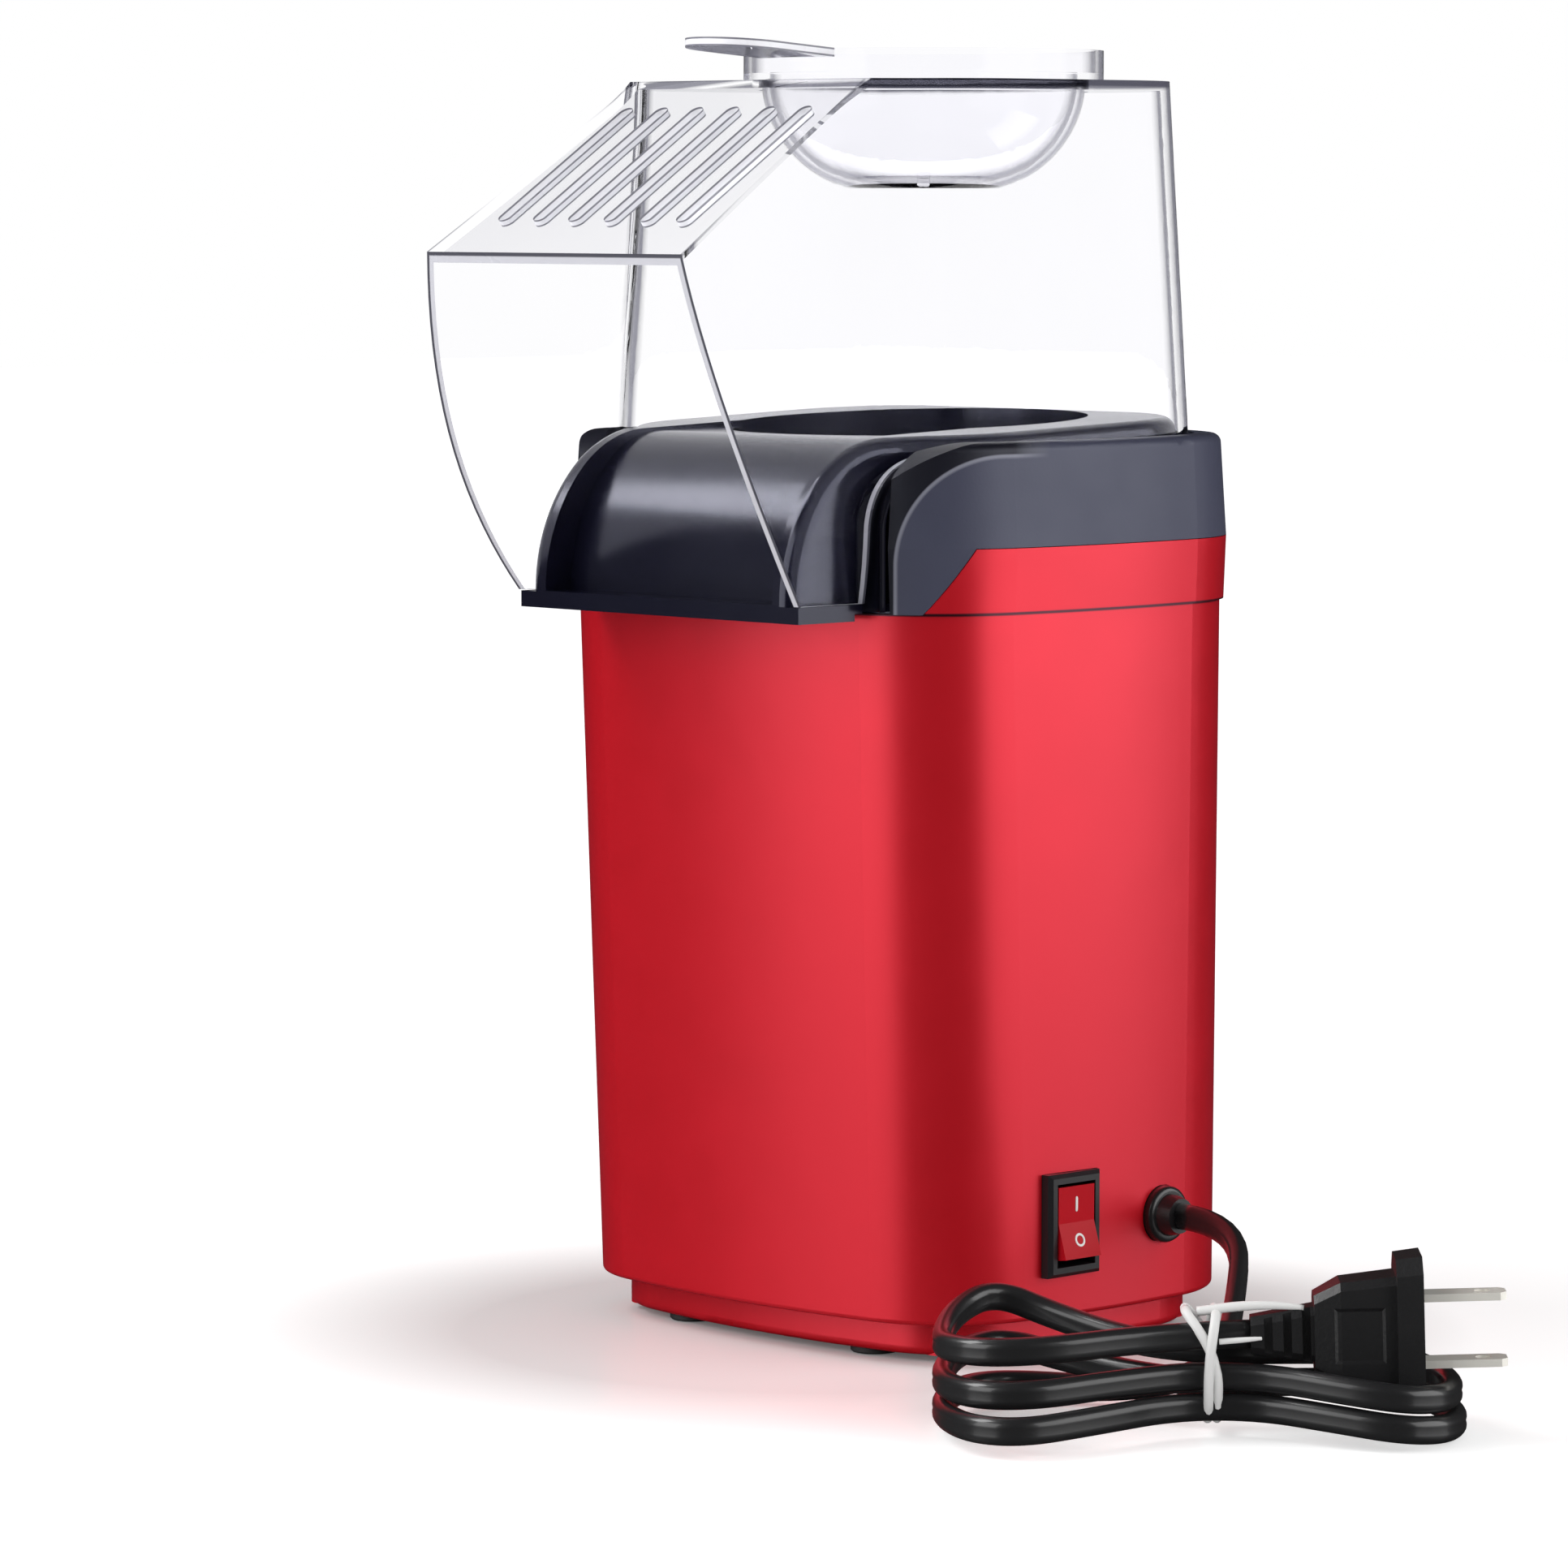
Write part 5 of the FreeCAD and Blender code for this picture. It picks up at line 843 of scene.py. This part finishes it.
class POPPER_OT_collar(bpy.types.Operator):
    """Blue-black collar and polished chute"""

    bl_idname = "popper.collar"
    bl_label = "Collar and chute"

    def execute(self, context):
        colours = context.scene.popper_finish
        matte = finish("Collar black", tuple(colours.collar_black), 0.42, 0.50, grain=1400.0, bump=0.10,
                       tint=(0.86, 0.88, 1.0))
        # The pale colour is a painted highlight line along the arc of the swept corner.
        sweep_corner(matte, tuple(colours.collar_black), (0.20, 0.205, 0.25), tuple(colours.chute_black))
        dress(matte, "collar")
        gloss = finish("Chute black", tuple(colours.chute_black), 0.17, 0.22, grain=700.0, bump=0.02, coat=0.1,
                       coat_rough=0.12, specular=0.42, tint=(0.78, 0.80, 1.0))
        dress(gloss, "chute")
        cheek = finish("Cheek black", tuple(colours.chute_black), 0.40, 0.48, grain=900.0, bump=0.04, specular=0.15)
        for side in (-1.0, 1.0):
            valley = make_valley(side)
            valley.data.materials.append(cheek)
            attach(valley, "housing")
        return {"FINISHED"}


def sweep_corner(mat, colour, pale, dark):
    """The collar's swept front corner: the chute's colour beyond an arc of a circle, with a painted highlight line on
    the arc.

    The circle lies in the height and the diagonal of depth and half width, which runs around the corner of the plan.
    """
    tree = mat.node_tree
    parts = split(tree, object_place(tree))
    half_width = math_node(tree, "ABSOLUTE", parts["X"])
    diagonal = math_node(tree, "MULTIPLY", math_node(tree, "ADD", half_width, parts["Y"]), math.sqrt(0.5))
    ahead = math_node(tree, "MAXIMUM", math_node(tree, "SUBTRACT", SWEEP_CENTRE[0] * MM, diagonal))
    above = math_node(tree, "MAXIMUM", math_node(tree, "SUBTRACT", parts["Z"], SWEEP_CENTRE[1] * MM))
    squares = [math_node(tree, "MULTIPLY", part, part) for part in (ahead, above)]
    arm = math_node(tree, "SQRT", math_node(tree, "ADD", *squares))
    fade = [(SWEEP_CENTRE[0] + behind) * MM for behind in SWEEP_FADE]
    front = map_range(tree, diagonal, *fade, 1.0, 0.0)
    shade = colour
    # A painted highlight line on the arc, then the chute's colour beyond it.
    for (past, full), paint in ((SWEEP_HIGHLIGHT_LINE, pale), (SWEEP_DARK, dark)):
        reached = map_range(tree, arm, (SWEEP_R + past) * MM, (SWEEP_R + full) * MM, 0.0, 1.0)
        shade = mix_colour(tree, math_node(tree, "MULTIPLY", reached, front), shade, paint)
    recolour(mat, shade)


def make_valley(side):
    """Hollow cheek of the chute between its nose and the front end of the collar.

    Seen from the side it stands plumb and then follows the hood's lower edge as a quarter of a circle; in plan it is
    hollow, half a sine wave deep.
    """
    turn = np.linspace(0, np.pi / 2, 40)
    rise = np.linspace(VALLEY_FOOT, VALLEY_CENTRE[1], 20, endpoint=False)

    def seen_from_side(radius):
        plumb = np.stack([np.full_like(rise, VALLEY_CENTRE[0] - radius), rise], axis=1)
        arc = np.stack([VALLEY_CENTRE[0] - radius * np.cos(turn), VALLEY_CENTRE[1] + radius * np.sin(turn)], axis=1)
        return np.vstack([plumb, arc])

    section = np.vstack([seen_from_side(VALLEY_R), seen_from_side(VALLEY_R - VALLEY_WALL)[::-1]])
    share = np.linspace(0, 1, 24)[:, None]
    x = side * (VALLEY_SPAN[0] + (VALLEY_SPAN[1] - VALLEY_SPAN[0]) * share) + 0 * section[None, :, 0]
    y = section[None, :, 0] + VALLEY_HOLLOW * np.sin(np.pi * share) + ROW_Y
    points = np.stack([x, y, section[None, :, 1] + 0 * x], axis=-1) * MM
    return skin_object("chute_cheek", points if side < 0 else points[::-1])


class POPPER_OT_hood(bpy.types.Operator):
    """Clear hood and measuring cup"""

    bl_idname = "popper.hood"
    bl_label = "Hood and cup"

    def execute(self, context):
        colours = context.scene.popper_finish
        tint = np.array(colours.clear_tint)
        top = float(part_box("hood")[1].z)
        # The clear hood carries painted shade lines below its lid and along the visor's folds.
        folds = ((VISOR_TOP, VISOR_FRONT), (VISOR_TOP, (0.0, *VISOR_TOP[1:])))
        clear = clear_moulding("Clear hood", tint, 0.012, 0.02, HOOD_IOR, top, folds)
        # Opaque cut edges: pale painted light with painted dark outline lines; the slot edges paler still.
        edge = cut_edge("Clear edge", (0.56, 0.56, 0.61), (0.07, 0.07, 0.09), False)
        pale = cut_edge("Clear slot edge", (0.93, 0.93, 0.97), (0.20, 0.20, 0.24), True)
        dress_clear("hood", clear, edge, pale, HOOD_SHEET)
        cup = clear_moulding("Clear cup", tint ** 1.5, 0.012, 0.03, CUP_IOR, float(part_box("measuring_cup")[1].z))
        dress_clear("measuring_cup", cup, edge, pale, CUP_SHEET)
        return {"FINISHED"}


class POPPER_OT_switch(bpy.types.Operator):
    """Rocker switch with its bezel, key and on and off marks"""

    bl_idname = "popper.switch"
    bl_label = "Switch"

    def execute(self, context):
        colours = context.scene.popper_finish
        bezel = finish("Bezel black", (0.014, 0.014, 0.016), 0.28, 0.36, grain=900.0, bump=0.06)
        dress(bezel, "switch_housing")
        key = finish("Rocker red", tuple(colours.rocker_red), 0.30, 0.38, grain=500.0, bump=0.02, specular=0.12)
        shader = next(n for n in key.node_tree.nodes if n.type == "BSDF_PRINCIPLED")
        shader.inputs["Subsurface Weight"].default_value = 0.35
        shader.inputs["Subsurface Radius"].default_value = (0.003, 0.0004, 0.0004)
        dress(key, "rocker")
        paint = finish("Mark white", (0.82, 0.82, 0.80), 0.4, 0.5, grain=700.0, bump=0.05)
        for mark in (bar_mark(), ring_mark()):
            mark.data.materials.append(paint)
            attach(mark, "rocker")
        return {"FINISHED"}


def on_key(across, up, out, upper):
    """Points on one half of the dished rocker key, tipped as it rests: across, up the half and out of it, in mm."""
    rise = math.hypot(KEY_TOP - KEY_DISH, KEY_HALF)
    side = 1.0 if upper else -1.0
    along = np.array([(KEY_TOP - KEY_DISH) / rise, side * KEY_HALF / rise])
    normal = np.array([KEY_HALF / rise, -side * (KEY_TOP - KEY_DISH) / rise])
    x = KEY_DISH + along[0] * (rise / 2 + side * up) + normal[0] * out
    z = along[1] * (rise / 2 + side * up) + normal[1] * out
    tilt = math.radians(-KEY_TILT)
    pin = next(j for j in frame["joints"] if j["name"] == "switch_rock")["pos_m"]
    turned_x = x * math.cos(tilt) + z * math.sin(tilt)
    turned_z = -x * math.sin(tilt) + z * math.cos(tilt)
    return np.stack([turned_x, across, turned_z], axis=-1) * MM + np.array(pin)


def bar_mark():
    """On mark: a low bar with round ends, its height falling to nothing at the rim."""
    t = np.linspace(0, 2 * np.pi, 32, endpoint=False)
    r = np.array([1.0, 1.0, 0.8, 0.01])[:, None]
    out = np.array([-0.05, 0.10, 0.16, 0.16])[:, None] + 0 * t
    across = BAR_HALF[0] * r * np.sign(np.cos(t)) * np.abs(np.cos(t)) ** 0.6
    up = BAR_HALF[1] * r * np.sign(np.sin(t)) * np.abs(np.sin(t)) ** 0.35
    return skin_object("mark_on", on_key(across, up, out, True))


def ring_mark():
    """Off mark: a low round ring, a flat oval section turned about its middle."""
    t = np.linspace(0, 2 * np.pi, 40)[:, None]
    s = np.linspace(0, 2 * np.pi, 10, endpoint=False)[None, :]
    r = RING_R + RING_SECTION[0] * np.cos(s)
    out = RING_LIFT + RING_SECTION[1] * np.sin(s) + 0 * t
    return skin_object("mark_off", on_key(r * np.cos(t), r * np.sin(t), out, False), capped=False)


class POPPER_OT_inside(bpy.types.Operator):
    """Popping chamber, heater, blower, wiring and fasteners"""

    bl_idname = "popper.inside"
    bl_label = "Inside"

    def execute(self, context):
        bright = finish("Drawn aluminium", (0.80, 0.80, 0.79), 0.22, 0.36, grain=220.0, bump=0.06, metallic=1.0,
                        effect="Drawn lines", drift=0.03)
        dress(bright, "popping_chamber", "thermostat", "thermal_fuse")
        steel = finish("Plated steel", (0.56, 0.56, 0.55), 0.25, 0.4, grain=300.0, bump=0.05, metallic=1.0,
                       effect="Drawn lines", drift=0.05)
        dress(steel, "motor_can", "motor_screws", "motor_shaft", "rocker_pin", "base_screws", "chute_screws",
              "duct_screws")
        resin = finish("Duct resin", (0.10, 0.09, 0.085), 0.5, 0.65, grain=500.0, bump=0.2, drift=0.08)
        dress(resin, "air_duct", "motor_end_cap", "motor_mount", "fan")
        mica = finish("Mica card", (0.50, 0.42, 0.31), 0.35, 0.6, grain=350.0, bump=0.2, drift=0.15, drift_scale=90.0)
        dress(mica, "heater_card_long", "heater_card_cross")
        wire = finish("Heating wire", (0.40, 0.37, 0.34), 0.3, 0.5, grain=600.0, bump=0.1, metallic=1.0)
        dress(wire, "heater_coil")
        seal = finish("Seal rubber", (0.30, 0.07, 0.05), 0.5, 0.65, grain=600.0, bump=0.1)
        dress(seal, "chamber_seal")
        board = finish("Board laminate", (0.32, 0.21, 0.09), 0.4, 0.55, grain=500.0, bump=0.1, drift=0.1)
        dress(board, "rectifier_board")
        moulding = finish("Diode black", (0.02, 0.02, 0.02), 0.35, 0.5, grain=700.0, bump=0.1)
        dress(moulding, "rectifier_diodes")
        brass = finish("Terminal brass", (0.72, 0.56, 0.28), 0.25, 0.4, grain=300.0, bump=0.05, metallic=1.0,
                       effect="Drawn lines")
        dress(brass, "switch_terminals")
        sleeve = finish("Wire sleeve", (0.02, 0.02, 0.022), 0.35, 0.5, grain=700.0, bump=0.1)
        dress(sleeve, "lead_live", "lead_switched", "lead_neutral")
        return {"FINISHED"}


# Stage


def soft_box(name, power, box):
    """Rectangular lamp of a place, width and height that points at the middle of the machine."""
    at, wide, tall = box
    data = bpy.data.lights.new(name, "AREA")
    data.shape = "RECTANGLE"
    data.size = wide
    data.size_y = tall
    data.energy = power
    lamp = bpy.data.objects.new(name, data)
    lamp.location = at
    lamp.rotation_euler = (Vector(MACHINE_MIDDLE) - Vector(at)).to_track_quat("-Z", "Y").to_euler()
    bpy.context.scene.collection.objects.link(lamp)


def mirror_rays(tree, path):
    """One for rays that were reflected by a gloss, zero also for those that passed through a clear piece."""
    reflected = math_node(tree, "SUBTRACT", path.outputs["Is Glossy Ray"], path.outputs["Is Transmission Ray"])
    reflected.node.use_clamp = True
    return reflected


def studio_world():
    """White where it is seen, also through the clear mouldings; dim as light on surfaces, dark in reflections."""
    world = bpy.data.worlds.new("Studio")
    world.use_nodes = True
    tree = world.node_tree
    back = tree.nodes["Background"]
    path = tree.nodes.new("ShaderNodeLightPath")
    level = 1.0
    lit = path.outputs["Is Diffuse Ray"]
    for rays, strength in ((lit, SKY_ON_SURFACES), (mirror_rays(tree, path), SKY_IN_GLOSS)):
        level = map_range(tree, rays, 0.0, 1.0, level, strength)
    tree.links.new(level, back.inputs["Strength"])
    back.inputs["Color"].default_value = (1.0, 1.0, 1.0, 1.0)
    bpy.context.scene.world = world


def floor_material(white):
    """Pale floor that keeps the shadow; lifted to white away from the machine where seen, darker in reflections."""
    mat, tree, shader, place = base_material("Studio floor")
    shader.inputs["Roughness"].default_value = 0.3
    shader.inputs["Specular IOR Level"].default_value = 0.35
    path = tree.nodes.new("ShaderNodeLightPath")
    tone = mix_colour(tree, mirror_rays(tree, path), (white,) * 3, (FLOOR_IN_GLOSS * white,) * 3)
    tree.links.new(tone, shader.inputs["Base Color"])
    seen = math_node(tree, "MAXIMUM", path.outputs["Is Camera Ray"], path.outputs["Is Transmission Ray"])
    away = vector_node(tree, "LENGTH", place)
    lift = math_node(tree, "ADD", map_range(tree, away, *FLOOR_GLOW_NEAR), map_range(tree, away, *FLOOR_GLOW_FAR))
    tree.links.new(math_node(tree, "MULTIPLY", seen, lift), shader.inputs["Emission Strength"])
    shader.inputs["Emission Color"].default_value = (1.0, 1.0, 1.0, 1.0)
    return mat


class POPPER_OT_stage(bpy.types.Operator):
    """Pale floor, white surroundings, soft boxes and the camera"""

    bl_idname = "popper.stage"
    bl_label = "Stage"

    def execute(self, context):
        values = context.scene.popper_stage
        mesh = bpy.data.meshes.new("studio_floor")
        corners = np.array([[-1, -1], [1, -1], [1, 1], [-1, 1]]) * FLOOR_REACH
        mesh.from_pydata(np.hstack([corners, np.full((4, 1), -FLOOR_DROP)]).tolist(), [], [(0, 1, 2, 3)])
        floor = bpy.data.objects.new("studio_floor", mesh)
        context.scene.collection.objects.link(floor)
        mesh.materials.append(floor_material(values.floor_white))
        studio_world()
        soft_box("front_soft_box", values.front_lamp, FRONT_BOX)
        soft_box("side_soft_box", values.side_lamp, SIDE_BOX)
        soft_box("top_soft_box", values.top_lamp, TOP_BOX)
        data = bpy.data.cameras.new("photo_camera")
        data.lens = CAMERA_LENS
        data.sensor_width = CAMERA_SENSOR
        data.clip_end = CAMERA_REACH
        camera = bpy.data.objects.new("photo_camera", data)
        camera.location = CAMERA_AT
        camera.rotation_euler = Vector(CAMERA_LOOKS).to_track_quat("-Z", "Y").to_euler()
        context.scene.collection.objects.link(camera)
        context.scene.camera = camera
        context.scene.view_settings.view_transform = "Standard"
        return {"FINISHED"}


class POPPER_PT_panel(bpy.types.Panel):
    """Sidebar panel with the settings and the steps."""

    bl_idname = "POPPER_PT_panel"
    bl_label = "Popcorn maker"
    bl_space_type = "VIEW_3D"
    bl_region_type = "UI"
    bl_category = "Popper"

    def draw(self, context):
        for group in (context.scene.popper_finish, context.scene.popper_lead, context.scene.popper_stage):
            for name in group.__annotations__:
                self.layout.prop(group, name)
        for step in STEPS:
            self.layout.operator(step.bl_idname)


STEPS = (
    POPPER_OT_stage, POPPER_OT_lead, POPPER_OT_housing, POPPER_OT_collar, POPPER_OT_hood, POPPER_OT_switch,
    POPPER_OT_inside,
)
GROUPS = {"popper_finish": PopperFinish, "popper_lead": PopperLead, "popper_stage": PopperStage}


def register():
    """Register the classes and hang the settings on the scene."""
    for cls in (*GROUPS.values(), *STEPS, POPPER_PT_panel):
        bpy.utils.register_class(cls)
    for name, cls in GROUPS.items():
        setattr(bpy.types.Scene, name, bpy.props.PointerProperty(type=cls))


def unregister():
    """Take the settings and the classes away again."""
    for name in GROUPS:
        delattr(bpy.types.Scene, name)
    for cls in (POPPER_PT_panel, *reversed(STEPS), *GROUPS.values()):
        bpy.utils.unregister_class(cls)


def main():
    """Run every step in order."""
    register()
    bpy.ops.popper.stage()
    bpy.ops.popper.lead()
    bpy.ops.popper.housing()
    bpy.ops.popper.collar()
    bpy.ops.popper.hood()
    bpy.ops.popper.switch()
    bpy.ops.popper.inside()


if __name__ == "__main__":
    main()
